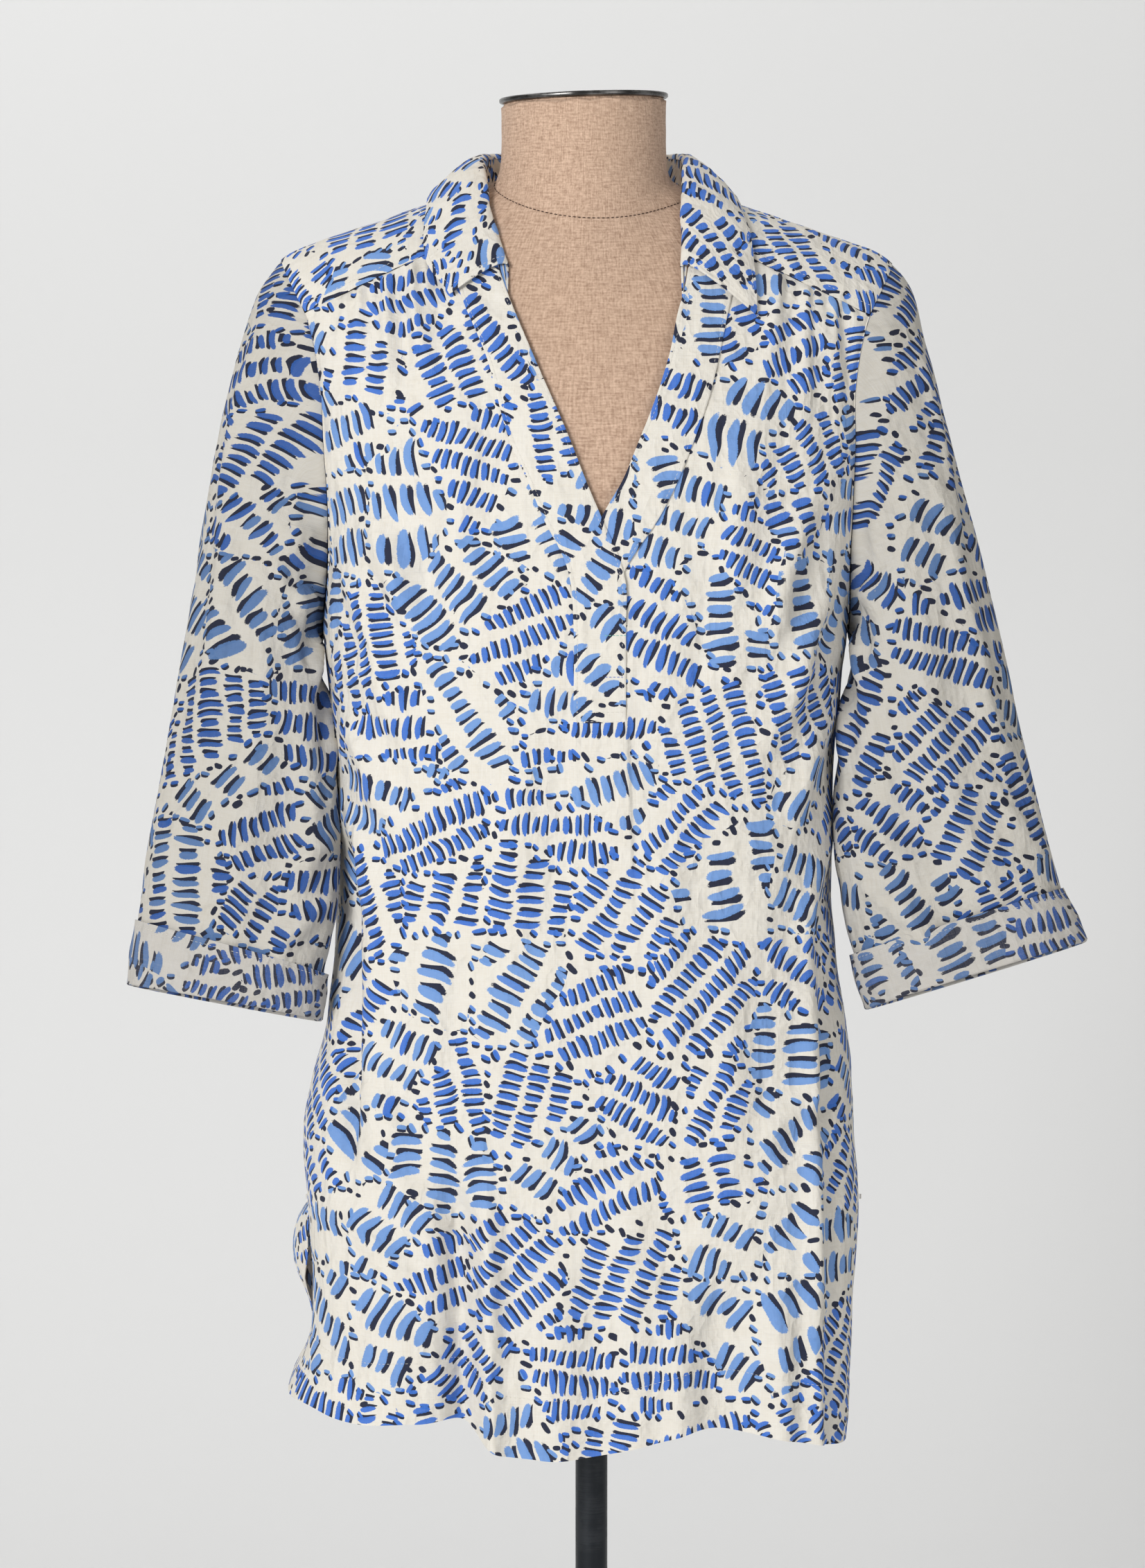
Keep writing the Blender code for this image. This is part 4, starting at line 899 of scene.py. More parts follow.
class Board:
    """A material's nodes, and what makes them."""

    def __init__(self, name):
        self.material = bpy.data.materials.new(name)
        self.material.use_nodes = True
        self.tree = self.material.node_tree
        self.tree.nodes.clear()

    def node(self, kind, settings, values, output=0):
        """A node of any type: its settings first, then the values or links of its sockets."""
        made = self.tree.nodes.new("ShaderNode" + kind)
        for key, value in settings.items():
            setattr(made, key, value)
        for key, value in values.items():
            if isinstance(value, Value):
                self.tree.links.new(value.socket, made.inputs[key])
            else:
                made.inputs[key].default_value = value
        return Value(self, made.outputs[output]) if made.outputs else None

    def more(self, value, output):
        """Another output of the node that a value comes from."""
        return Value(self, value.socket.node.outputs[output])

    def math(self, operation, *values):
        return self.node("Math", {"operation": operation}, dict(enumerate(values)))

    def vector(self, operation, *values):
        return self.node("VectorMath", {"operation": operation}, dict(enumerate(values)))

    def scaled(self, value, factor):
        return self.node("VectorMath", {"operation": "SCALE"}, {0: value, "Scale": factor})

    def join(self, x, y, z=0.0):
        return self.node("CombineXYZ", {}, {0: x, 1: y, 2: z})

    def split(self, value):
        x = self.node("SeparateXYZ", {}, {0: value})
        return x, self.more(x, 1), self.more(x, 2)

    def mix(self, share, low, high):
        """Colours: low where share is 0 and high where it is 1."""
        return self.node("Mix", {"data_type": "RGBA"}, {0: share, 6: low, 7: high}, 2)

    def step(self, value, low, high):
        """0 at low, 1 at high and a soft step between."""
        return self.node("MapRange", {"interpolation_type": "SMOOTHSTEP"},
                         {"Value": value, "From Min": low, "From Max": high})

    def noise(self, at, scale, detail=2.0, roughness=0.5, output=0):
        return self.node("TexNoise", {}, {"Vector": at, "Scale": scale, "Detail": detail,
                                          "Roughness": roughness}, output)

    def threads(self, x, y, along, across, detail, roughness, offset=0.0):
        """Uneven threads, from about -1 to 1: weft with slow changes along x, and warp along y."""
        weft = self.noise(self.join(x * along, y * across), 1.0, detail, roughness)
        warp = self.noise(self.join(x * across, y * along, offset), 1.0, detail, roughness)
        return weft + warp - 1.0

    def cut(self):
        """The piece's own flat places, in metres."""
        return self.node("UVMap", {"uv_map": "cut"}, {})

    def object_place(self):
        """The place on the object, in metres."""
        return self.node("TexCoord", {}, {}, "Object")

    def bump(self, height, distance):
        return self.node("Bump", {}, {"Height": height, "Distance": distance, "Strength": 1.0})

    def finish(self, **values):
        """The surface shader, from its sockets' values; the words' underscores stand for spaces."""
        names = {key.replace("_", " ").title().replace("Ior", "IOR"): values[key] for key in values}
        shader = self.node("BsdfPrincipled", {}, names)
        self.node("OutputMaterial", {}, {"Surface": shader})
        return self.material


def rgba(colour, shade=1.0):
    """A colour with its alpha, darkened by a factor or by one for each of its parts."""
    return (*(np.array(colour) * shade), 1.0)


# ---------------- finishes
PATCH_SPREAD = 0.92             # how unevenly the patches lie, 0 in a grid
PATCH_RIM_MM = 3.4              # bare cloth inside a patch's edge
LANE_MM = 8.2                   # spacing of the dashes between the patches
LANE_SPREAD = 0.5
LANE_REACH_MM = 5.0             # how far from a patch's edge the dashes lie
INK_COVER = 0.97
# The least half length and half width of a stroke and of a dash, and what a draw adds to them.
STROKE_LENGTH_MM, STROKE_LENGTHS_MM = 6.4, 4.4
STROKE_WIDTH_MM, STROKE_WIDTHS_MM = 1.75, 1.0
DASH_LENGTH_MM, DASH_LENGTHS_MM = 2.4, 1.4
DASH_WIDTH_MM, DASH_WIDTHS_MM = 1.05, 0.40
STROKE_BEND = 0.034             # how much a stroke bends, per millimetre of its length
DRY_BRUSH = (0.28, 0.43, 0.72)
# The wrong side's ground, which printed_cloth darkens further by painted shade.
WRONG_SIDE_CREAM = (0.67, 0.645, 0.605)
SLUB_SHADE = (0.955, 0.935, 0.895)
AGED_LINEN = (0.46, 0.31, 0.21)
LINEN_RADIUS_MM = 80.0          # radius on which the linen's threads are laid round the form


def cells(board, place, size_mm, spread):
    """The middle of the cell that holds a place, and three draws for that cell."""
    middle = board.node("TexVoronoi", {"voronoi_dimensions": "2D"},
                        {"Vector": place, "Scale": 1 / size_mm, "Randomness": spread}, "Position")
    return middle, *board.split(board.more(middle, "Color"))


def room_in_patch(board, place):
    """How far a place is from the edge of its patch of strokes, in millimetres."""
    patch_mm = sizes().patch * MM
    return board.node("TexVoronoi", {"voronoi_dimensions": "2D", "feature": "DISTANCE_TO_EDGE"},
                      {"Vector": place, "Scale": 1 / patch_mm, "Randomness": PATCH_SPREAD}) * patch_mm


def turned_place(board, place, middle, turn):
    """A place across and along an axis that is turned about a middle, with the turn's cosine and sine."""
    cos, sin = board.math("COSINE", turn), board.math("SINE", turn)
    x, y, _ = board.split(board.vector("SUBTRACT", place, middle))
    return x * cos + y * sin, y * cos - x * sin, cos, sin


def stroke(board, across, along, half_width_mm, half_length_mm, ragged):
    """Ink of one brush stroke: 1 inside its rounded outline and 0 outside."""
    wide = board.math("ABSOLUTE", across / half_width_mm) ** 2.3
    long = board.math("ABSOLUTE", along / half_length_mm) ** 2.8
    return board.step(wide + long + ragged, 1.16, 0.86)


def large_strokes(board, place, ragged):
    """Patches of parallel brush strokes: (ink, dark edge, how light the blue is)."""
    row_mm, step_mm = sizes().stroke_row * MM, sizes().stroke_step * MM
    centre, chance, hue, side = cells(board, place, sizes().patch * MM, PATCH_SPREAD)
    size = hue * hue * 0.72 + 0.74
    u, v, cos, sin = turned_place(board, place, centre, chance * math.pi)
    u, v = u / size, v / size
    row = board.math("ROUND", v / row_mm)
    shift = board.math("MODULO", board.math("ABSOLUTE", row), 2.0) * 0.5
    column = board.math("ROUND", u / step_mm - shift)
    u_middle = (column + shift) * step_mm
    v_middle = row * row_mm
    middle = board.vector("ADD", centre, board.join((u_middle * cos - v_middle * sin) * size,
                                                    (u_middle * sin + v_middle * cos) * size))
    room = room_in_patch(board, middle)
    draw = board.node("TexWhiteNoise", {"noise_dimensions": "3D"},
                      {"Vector": board.join(column, row, hue)}, "Color")
    first, second, third = board.split(draw)
    half_length_mm = board.math("MINIMUM", first * STROKE_LENGTHS_MM + STROKE_LENGTH_MM, room * 1.08)
    half_width_mm = board.math("MINIMUM", second * STROKE_WIDTHS_MM + STROKE_WIDTH_MM, room * 0.36 + 0.5)
    way = side - 0.5
    along = v - v_middle + (third - 0.5) * 2.0
    slant = way * 0.5 * (1 - shift * 3.0) + (first - 0.5) * 0.16
    across = u - u_middle - way * STROKE_BEND * along * along + along * slant
    shown = room > PATCH_RIM_MM
    ink = stroke(board, across, along, half_width_mm, half_length_mm, ragged) * shown
    leaning = board.math("SIGN", chance - 0.5)
    edge_width_mm = half_width_mm * 0.26 + 1.62
    beside = across + leaning * (half_width_mm * 0.84 + 1.52)
    dark = stroke(board, beside, along + 0.8, edge_width_mm, half_length_mm * 0.98, ragged) * shown
    light = board.step(hue + (third - 0.5) * 0.16, 0.56, 0.60)
    return ink, dark, light


def small_strokes(board, place, ragged):
    """Short dashes that fill the lanes between the patches: (ink, dark edge)."""
    centre, chance, size, keep = cells(board, place, LANE_MM, LANE_SPREAD)
    room = room_in_patch(board, centre)
    across, along, _, _ = turned_place(board, place, centre, chance * 1.3 + 0.4)
    shown = (room < LANE_REACH_MM) * (keep > 0.10)
    long_mm = size * DASH_LENGTHS_MM + DASH_LENGTH_MM
    wide_mm = size * DASH_WIDTHS_MM + DASH_WIDTH_MM
    ink = stroke(board, across - 0.5, along, wide_mm, long_mm, ragged) * shown * (keep > 0.32)
    dark = stroke(board, across + 0.8, along + 0.4, size * 0.35 + 1.58, long_mm * 0.96, ragged) * shown
    return ink, dark


def printed_cloth(name, wrong_side=False, shade=1.0, ink_painted_shade=1.0):
    """Slubby linen with patches of blue brush strokes, each with a navy edge; paler on the wrong side."""
    board = Board(name)
    tint = colours()
    mm = board.scaled(board.cut(), MM)
    if wrong_side:
        mm = board.vector("MULTIPLY", mm, (-1.0, 1.0, 1.0))
    drift = board.vector("SUBTRACT", board.noise(mm, 0.035, 1.0, output="Color"), (0.5, 0.5, 0.5))
    place = board.vector("ADD", mm, board.scaled(drift, 9.0))
    ragged = (board.noise(mm, 0.9) - 0.5) * 0.9
    ink, dark, light = large_strokes(board, place, ragged)
    small_ink, small_dark = small_strokes(board, place, ragged * 0.7)
    x, y, _ = board.split(mm)
    slub = board.threads(x, y, 0.05, 2.1, 3.0, 0.6, 7.0)
    worn = board.noise(mm, 0.06) - 0.5
    cream = WRONG_SIDE_CREAM if wrong_side else tint.cream
    ground = board.mix(board.step(slub + worn * 0.5, -0.22, 0.30), rgba(cream), rgba(cream, SLUB_SHADE))
    blue = board.mix(light, rgba(tint.mid_blue), rgba(tint.light_blue))
    blue = board.mix(board.step(slub, -0.5, 0.6) * 0.22, blue, rgba(DRY_BRUSH))
    colour = board.mix(board.math("MAXIMUM", dark, small_dark) * INK_COVER, ground, rgba(tint.navy))
    # The blue is scaled by the painted shade of the ink.
    colour = board.mix(board.math("MAXIMUM", ink, small_ink) * INK_COVER, colour,
                       board.scaled(blue, ink_painted_shade))
    if wrong_side:
        colour = board.mix(board.step(slub, -0.10, 0.30) * 0.12 + 0.02, colour, rgba(cream))
    # Painted shade: the whole colour darkened, for the sleeves and the wrong side.
    if shade < 1.0:
        colour = board.scaled(colour, shade)
    crumple = board.math("ABSOLUTE", board.noise(mm, 0.040, 3.0, 0.55) - 0.5)
    pinch = board.math("ABSOLUTE", board.noise(board.join(x, y * 0.35, 3.0), 0.062) - 0.5)
    normal = board.bump(slub * 0.8 - crumple * 22.0 - pinch * 18.0, 0.00024)
    return board.finish(base_color=colour, roughness=board.step(slub, -0.6, 0.6) * 0.08 + 0.82,
                        normal=normal, specular_ior_level=0.18, sheen_weight=0.03)


def thread_finish(name, colour):
    """Twisted sewing thread."""
    board = Board(name)
    twist = board.noise(board.object_place(), 2600.0)
    shade = board.mix(board.step(twist, 0.3, 0.7), rgba(colour), rgba(colour, 0.8))
    return board.finish(base_color=shade, roughness=0.75)


def linen_finish():
    """The form's cover: a close weave of uneven tan threads with brown ones between."""
    board = Board("form_linen_weave")
    tint = colours()
    aside, ahead, up = board.split(board.object_place())
    x = board.math("ARCTAN2", aside, NECK_MIDDLE_Y - ahead) * LINEN_RADIUS_MM
    y = up * MM
    grain = board.noise(board.join(x * 0.62, y * 0.62), 1.0) - 0.5
    slub = board.threads(x, y, 0.11, 0.80, 2.0, 0.5, 5.0)
    dark = board.step(grain * 0.7 + slub * 0.8, -0.60, 0.75)
    thread = board.mix(dark, rgba(tint.linen), rgba(tint.linen_dark))
    mottle = board.step(board.noise(board.join(x, y), 0.012, 3.0), 0.35, 0.75)
    return board.finish(base_color=board.mix(mottle * 0.16, thread, rgba(AGED_LINEN)),
                        roughness=board.step(slub, -0.5, 0.5) * 0.08 + 0.84,
                        normal=board.bump(grain * 0.3 + slub * 0.5, 0.00030),
                        specular_ior_level=0.25, sheen_weight=0.06)


def steel_finish(name, colour, metallic, roughness, wear):
    """Polished or painted steel with fine scratches and dull spots."""
    board = Board(name)
    at = board.object_place()
    x, y, z = board.split(at)
    scratch = board.noise(board.join(x * 60.0, y * 60.0, z * 2200.0), 1.0)
    rub = board.step(board.noise(at, 38.0, 4.0, 0.6) + scratch * 0.4, 0.62, 0.86)
    bare = rgba([min(1.0, c * 2.6 + 0.10) for c in colour])
    return board.finish(base_color=board.mix(rub * wear, rgba(colour), bare), metallic=metallic,
                        roughness=roughness + rub * 0.16 + board.step(scratch, 0.5, 0.8) * 0.08,
                        normal=board.bump(scratch, 0.00002))


def ground_finish(name, colour):
    """A plain matt ground that shows from its front only, so that it hides nothing from behind."""
    board = Board(name)
    board.finish(base_color=rgba(colour), roughness=0.9)
    matt, surface = board.tree.nodes["Principled BSDF"], board.tree.nodes["Material Output"]
    clear = board.node("BsdfTransparent", {}, {})
    behind = board.node("NewGeometry", {}, {}, "Backfacing")
    shown = board.node("MixShader", {}, {0: behind, 1: Value(board, matt.outputs[0]), 2: clear})
    board.tree.links.new(shown.socket, surface.inputs["Surface"])
    return board.material


LOOKS = {}


def look(name):
    """A finish by name, made the first time that it is asked for."""
    makers = {
        "print": lambda: printed_cloth("printed_linen"),
        # The sleeves' print, darkened by painted shade: 0.74 on the whole colour and 0.72 on the blue.
        "sleeve print with painted shade": lambda: printed_cloth("printed_linen_of_sleeves_with_painted_shade", False, 0.74, 0.72),
        # The wrong side is paler and greyer, and it is darkened further by painted shade: 0.80 on the whole
        # colour and 0.66 on the blue. The cuffs show it.
        "wrong side": lambda: printed_cloth("printed_linen_wrong_side_with_painted_shade", True, 0.80, 0.66),
        "thread": lambda: thread_finish("cream_thread", colours().thread),
        "brown thread": lambda: thread_finish("brown_thread", (0.07, 0.036, 0.022)),
        "blue thread": lambda: thread_finish("blue_thread", (0.10, 0.18, 0.62)),
        "green thread": lambda: thread_finish("green_thread", (0.25, 0.62, 0.52)),
        "linen": linen_finish,
        "cap": lambda: steel_finish("worn_cap_steel", colours().steel, 1.0, 0.22, 0.9),
        "pole": lambda: steel_finish("pole_steel_satin", colours().pole, 0.6, 0.34, 0.12),
        "ground": lambda: ground_finish("pale_ground", (0.80, 0.80, 0.795)),
    }
    if name not in LOOKS:
        LOOKS[name] = makers[name]()
    return LOOKS[name]


# ---------------- front and back panels
def edge_x(side, y_sign, z):
    """The side edge of the front or back panel, which part company below the slit's top."""
    name = "right" if side < 0 else "left"
    extra = smooth(SLIT, name, z) * (z < SLIT_TOP_Z) if y_sign == BEHIND else 0.0
    return side * (smooth(BODY, name, z) + extra)


def lower_rows(centre, side, y_sign, shares, shares_up):
    """Rows of a half panel from the hem to the underarm."""
    hem = "front" if y_sign == BEFORE else "back"
    up = shares_up[:, None]
    z = HEM_START_Z + (UNDERARM_Z - HEM_START_Z) * up + 0 * shares[None]
    for _ in range(3):
        x = centre + (edge_x(side, y_sign, z) - centre) * shares
        foot = smooth(HEM, hem, x)
        z = foot + (UNDERARM_Z - foot) * up
    y = y_sign * depth(z, y_sign) * fullness(x, z, np.abs(edge_x(side, y_sign, z)))
    extra = np.abs(edge_x(side, BEHIND, z)) - np.abs(edge_x(side, BEFORE, z))
    curl = extra * (y_sign == BEHIND) * np.clip(1 - y / CURL_REACH_Y, 0, 1) ** 2
    gap = smooth(SLIT, "gap", z) * (z < SLIT_TOP_Z)
    free = (y_sign == BEFORE) * (side > 0) * ease((CORNER_TOP_Z - z) / CORNER_FADE)
    y = y + y_sign * (gap - CURL_BACK * curl) * shares ** 12 - CORNER_FORWARD * free * shares ** 6
    turned_up = CORNER_TURN_UP * free * ease(1 + y / CORNER_DEPTH) * ease((CORNER_FOLD_Z - z) / 0.05)
    y = np.where(free > 0, np.minimum(y, CORNER_FRONT_Y * free), y)
    return points(x - side * CURL_IN * curl, y, z + turned_up)


def upper_rows(start_x, side, y_sign, shares, angles, top_z):
    """Rows from the underarm to the yoke seam, which fan out between centre and armhole."""
    ends = {s: armhole(angles, s) for s in (-1, 1)}
    climb = {s: (end[:, 2] - UNDERARM_Z) / (top_z(end[:, 0]) - UNDERARM_Z) for s, end in ends.items()}
    for rise in climb.values():
        rise[-1] = 1.0
    own, other = climb[side][:, None], climb[-side][:, None]
    rise = own + (other - own) * (1 - shares) ** 2 / 2
    end = ends[side]
    z = end[:, 2:3] + 0 * shares
    for _ in range(6):
        begin = start_x(z[:, :1])
        x = begin + (end[:, :1] - begin) * shares
        z = UNDERARM_Z + (top_z(x) - UNDERARM_Z) * rise
    grid = points(x, surface_y(x, z, y_sign), z)
    grid[:, -1] = end
    return grid


def run_of(points_along):
    """Length of each run of points along the last but one axis."""
    return np.linalg.norm(np.diff(points_along, axis=-2), axis=-1).sum(axis=-1)


def flat_places(grid, y_sign, steps=36):
    """Where the points of a panel lie in its flat cut: across from the centre, and up."""
    x, z = grid[..., 0], grid[..., 2]
    reach = half_width(x, z)
    share = np.clip(x / reach, -1.0, 1.0)
    t = np.linspace(0.0, 1.0, steps + 1)
    turn = np.arcsin(np.abs(share) ** (SQUARENESS / 2))[..., None] * t
    along = np.sign(share)[..., None] * np.sin(turn) ** (2 / SQUARENESS) * reach[..., None]
    level = z[..., None] + 0 * t
    across = np.sign(x) * run_of(points(along, surface_y(along, level, y_sign), level))
    across = across + x - share * reach
    foot = BODY["z"][0]
    rise = foot + (z[..., None] - foot) * (1 - (1 - t) ** 2)
    aside = share[..., None] * half_width(x[..., None], rise)
    up = foot + run_of(points(aside, surface_y(aside, rise, y_sign), rise))
    return np.stack([across, up], axis=-1)


def half_panel(side, y_sign, shares, shares_up, angles):
    """The folded outer grid of a half panel and its smooth base."""
    if y_sign == BEFORE:
        name = "right" if side < 0 else "left"

        def start_x(z):
            return np.where(z > SLASH_FOOT_Z, smooth(SLASH, name, z), SLASH_X)
        centre, top_z = SLASH_X, front_seam_z
    else:
        def start_x(z):
            return 0.0 * z
        centre, top_z = 0.0, back_seam_z
    base = np.concatenate([lower_rows(centre, side, y_sign, shares, shares_up),
                           upper_rows(start_x, side, y_sign, shares, angles, top_z)])
    last = np.abs(base[:, -1:, 0])
    reach = np.where(base[..., 2] < SLIT_TOP_Z, last, half_width(base[..., 0], base[..., 2]))
    normal = surface_normal(base, reach)
    normal[:, -1] = unit(normal[:, -2] * 0.35 + side * np.array((1.0, 0, 0)) * 0.65)
    height = panel_relief(base[..., 0], base[..., 2], y_sign)
    free = base[..., 2] < SLIT_TOP_Z - 0.01
    from_centre = run_along(base, 1)
    from_side = from_centre[:, -1:] - from_centre
    seamed = height * ease(from_side / 0.010) + seam_dip(from_side, *SIDE_DIP)
    return base, base + normal * np.where(free, height, seamed)[..., None]


def make_panel(name, y_sign, shares, shares_up, angles):
    """A front or back panel from its two halves."""
    halves = {side: half_panel(side, y_sign, shares, shares_up, angles) for side in (-1, 1)}
    joined = len(shares_up) + len(angles)
    if y_sign == BEFORE:
        joined = int(np.argmax(halves[1][0][:, 0, 2] > SLASH_FOOT_Z))
    normals = {side: facing(grid_normal(outer), np.array((0.0, y_sign, 0.0)))
               for side, (_, outer) in halves.items()}
    shared = unit(normals[-1][:joined, 0] + normals[1][:joined, 0])
    patches = []
    for side, (base, outer) in halves.items():
        normals[side][:joined, 0] = shared
        flat = flat_places(base, y_sign)
        low = base[:, -1, 2] < SLIT_TOP_Z
        flat[low, :, 0] = flat[low, :1, 0] + side * run_along(base, 1)[low]
        if y_sign == BEHIND:
            flat += BACK_CUT
        patches.append((*walled(outer, normals[side]), flat, False, joined))
    MADE[name] = halves
    return cloth(name, patches, (look("print"), look("wrong side")), merge=True)


def even_shares(start, count):
    """Shares of the half width, from one on, that lie evenly along a section."""
    turn = np.linspace(0.0, math.pi / 2, 2000)
    across, back = np.sin(turn) ** (2 / SQUARENESS), 0.5 * np.cos(turn) ** (2 / SQUARENESS)
    run = running(np.hypot(np.diff(across), np.diff(back)))
    shares = np.interp(np.linspace(np.interp(start, across, run), run[-1], count), run, across)
    shares[0], shares[-1] = start, 1.0
    return shares


def slit_shares_up(fine, coarse):
    """Heights of a panel's rows: close together at the hem, wider above."""
    low = np.linspace(0.0, 0.10, fine)
    return np.concatenate([low[:-1], np.linspace(0.10, 1.0, coarse)[:-1]])


def make_front():
    """The front panel: slash, gathers, box pleat, folds and turned hem."""
    shares = np.concatenate([np.linspace(0.0, 0.20, 27)[:-1], even_shares(0.20, 108)])
    angles = FRONT_SEAM_ANGLE * np.linspace(0.0, 1.0, 62) ** 0.75
    made = make_panel("tunic_front", BEFORE, shares, slit_shares_up(20, 74), angles)
    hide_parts("front")


def make_back():
    """The back panel, gathered under the yoke."""
    shares = even_shares(0.0, 100)
    angles = 360.0 - (360.0 - BACK_SEAM_ANGLE) * np.linspace(0.0, 1.0, 46) ** 0.75
    made = make_panel("tunic_back", BEHIND, shares, slit_shares_up(16, 62), angles)
    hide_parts("back")


# ---------------- yoke
def neck_seam(u):
    """The neck seam on the shoulder surface: u from -1 (right front) over 0 (back) to 1 (left front)."""
    x, y = sided(NECK_SEAM, u), smooth(NECK_SEAM, "y", np.abs(u))
    return points(x, y, surface_z(x, y))


def sided(rows, u):
    """A table's right and left columns as one signed x."""
    share = np.abs(u)
    return np.where(u < 0, -smooth(rows, "right", share), smooth(rows, "left", share))


def yoke_half(side, shares, arm_steps, back_steps):
    """Half of the yoke: rows from the neck out, columns from the front seam round to the back."""
    u = np.linspace(0.6, 1.0, 401)
    on_neck = neck_seam(side * u)
    u_front = u[np.argmin(np.abs(on_neck[:, 2] - front_seam_z(on_neck[:, 0])))]
    arm = armhole(np.linspace(FRONT_SEAM_ANGLE, BACK_SEAM_ANGLE, arm_steps + 1), side)
    back_x = arm[-1, 0] * np.linspace(1.0, 0.0, back_steps + 1)
    seam_height = back_seam_z(back_x)
    seam = points(back_x, surface_y(back_x, seam_height, BEHIND), seam_height)
    outer = np.concatenate([arm, seam[1:]])[:, :2]
    turn = len(arm) / len(outer)
    share = np.linspace(0.0, 1.0, len(outer))
    inner = neck_seam(side * u_front * (1 - np.interp(share, (0.0, turn, 1.0), (0.0, 0.55, 1.0))))[:, :2]
    front_x = inner[0, 0] + (outer[0, 0] - inner[0, 0]) * shares
    front_edge = np.stack([front_x, surface_y(front_x, front_seam_z(front_x), BEFORE)], axis=-1)
    back_edge = inner[-1] + (outer[-1] - inner[-1]) * shares[:, None]
    v, s = shares[:, None, None], share[None, :, None]
    plan = (1 - v) * inner[None] + v * outer[None]
    plan = plan + (1 - s) * front_edge[:, None] + s * back_edge[:, None]
    plan = plan - ((1 - v) * (1 - s) * inner[0] + (1 - v) * s * inner[-1]
                   + v * (1 - s) * outer[0] + v * s * outer[-1])
    return points(plan[..., 0], plan[..., 1], surface_z(plan[..., 0], plan[..., 1]))


def yoke_places(grid, steps=14):
    """The yoke's flat places: across, and round from the shoulder line to the front and back."""
    x, y = grid[..., 0], grid[..., 1]
    share = (np.arange(steps) + 0.5) / steps
    small = 0.0004
    at = y[..., None] * share
    slope = (surface_z(x[..., None], at + small) - surface_z(x[..., None], at - small)) / (2 * small)
    down = y * np.sqrt(1 + np.minimum(slope ** 2, 9.0)).mean(axis=-1)
    return np.stack([x * math.sqrt(1 + RIDGE_SLOPE ** 2) + 0.9, 1.7 - down], axis=-1)


def make_yoke():
    """The shoulder yoke, over the shoulders from the front seams to the back one."""
    shares = np.linspace(0.0, 1.0, 34)
    right, left = (yoke_half(side, shares, 26, 46) for side in (-1, 1))
    grid = np.concatenate([right, left[:, ::-1][:, 1:]], axis=1)
    normal = facing(surface_normal(grid), UP)
    nearest = from_ends(grid, 1)
    from_neck = run_along(grid, 0)
    from_arm = from_neck[-1:] - from_neck
    seams = 0.0009 * ease(nearest / 0.0020) + seam_dip(from_arm, 0.0030, 0.0009)
    soft = waves(grid[..., 0], grid[..., 1], 21, 0.06, 0.9) * sizes().rumple * 0.8 * ease(from_arm / 0.01)
    pucker = 0.0005 * uneven(from_neck, 900, 3, 140) * np.exp(-nearest / 0.006)
    outer = grid + normal * (seams + soft + pucker)[..., None]
    patch = (*walled(outer, facing(grid_normal(outer), UP)), yoke_places(grid), False, 0)
    made = cloth("tunic_yoke", [patch], (look("print"), look("wrong side")))
    MADE["yoke"] = outer
    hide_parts("yoke")


# ---------------- collar
def roll_line(u):
    """The line where the stand ends and the fall turns over."""
    share = np.abs(u)
    return points(sided(ROLL, u), smooth(ROLL, "y", share), smooth(ROLL, "z", share))


def along_collar(count):
    """Places along the collar, closer together at its front ends."""
    t = np.linspace(-1.0, 1.0, count)
    return np.sign(t) * (1 - (1 - np.abs(t)) ** 1.25)


def collar_places(grid, rows_up):
    """Flat places of a collar piece, along it and across it."""
    along = run_along(grid[:1], 1)
    along = along - along[:, -1:] / 2
    across = run_along(grid, 0) * rows_up
    return np.stack([along + 0.5 + 0 * across, across + 2.1], axis=-1)


def make_stand(u):
    """The stand, from the neck seam up to the roll line."""
    foot, top = neck_seam(u), roll_line(u)
    foot = foot + surface_normal(foot) * 0.0007
    share = np.linspace(0.0, 1.0, 12)[:, None, None]
    grid = foot[None] + (top - foot)[None] * share
    normal = np.cross(np.gradient(grid, axis=1), unit(top - foot)[None])
    from_neck = (grid - (0.0, NECK_MIDDLE_Y, 0.0)) * IN_PLAN
    normal = facing(unit(normal), from_neck)
    patch = (grid, grid - normal * STAND_WALL, collar_places(grid, -1), False, 0)
    made = cloth("tunic_collar_stand", [patch], (look("print"), look("print")))
    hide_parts("collar_stand")


def fall_grid(u, rows):
    """The fall's outside: over the roll line, then down to its edge just above the yoke and fronts."""
    share = np.abs(u)
    start = roll_line(u)
    lean = unit(start - neck_seam(u))
    plan_x, plan_y = sided(FALL_EDGE, u), smooth(FALL_EDGE, "y", share)
    on_panel = points(plan_x, plan_y, surface_z(plan_x, plan_y))
    away = surface_normal(on_panel)
    ripple = 0.0010 * np.sin(u * 17.0) + 0.0006 * np.sin(u * 41.0 + 1.0)
    lift = smooth(FALL_EDGE, "lift", share) + ripple * ease((share - 0.3) / 0.2)
    edge = on_panel + away * lift[:, None]
    rise = smooth(ROLL_RISE, "rise", share)[:, None]
    out = unit((edge - start) * IN_PLAN)
    start = start + lean * 0.0002 - out * ROLL_INSET
    first = start + unit(lean + away * ROLL_TURN) * rise
    second = edge + (start - edge) * 0.42 + away * rise * 0.75
    t = np.linspace(0.0, 1.0, rows)[:, None, None]
    grid = (1 - t) ** 3 * start + 3 * t * (1 - t) ** 2 * first
    grid = grid + 3 * t * t * (1 - t) * second + t ** 3 * edge
    normal = facing(grid_normal(grid), lean[None] + 0 * grid)
    normal[0] = -out
    return grid, normal


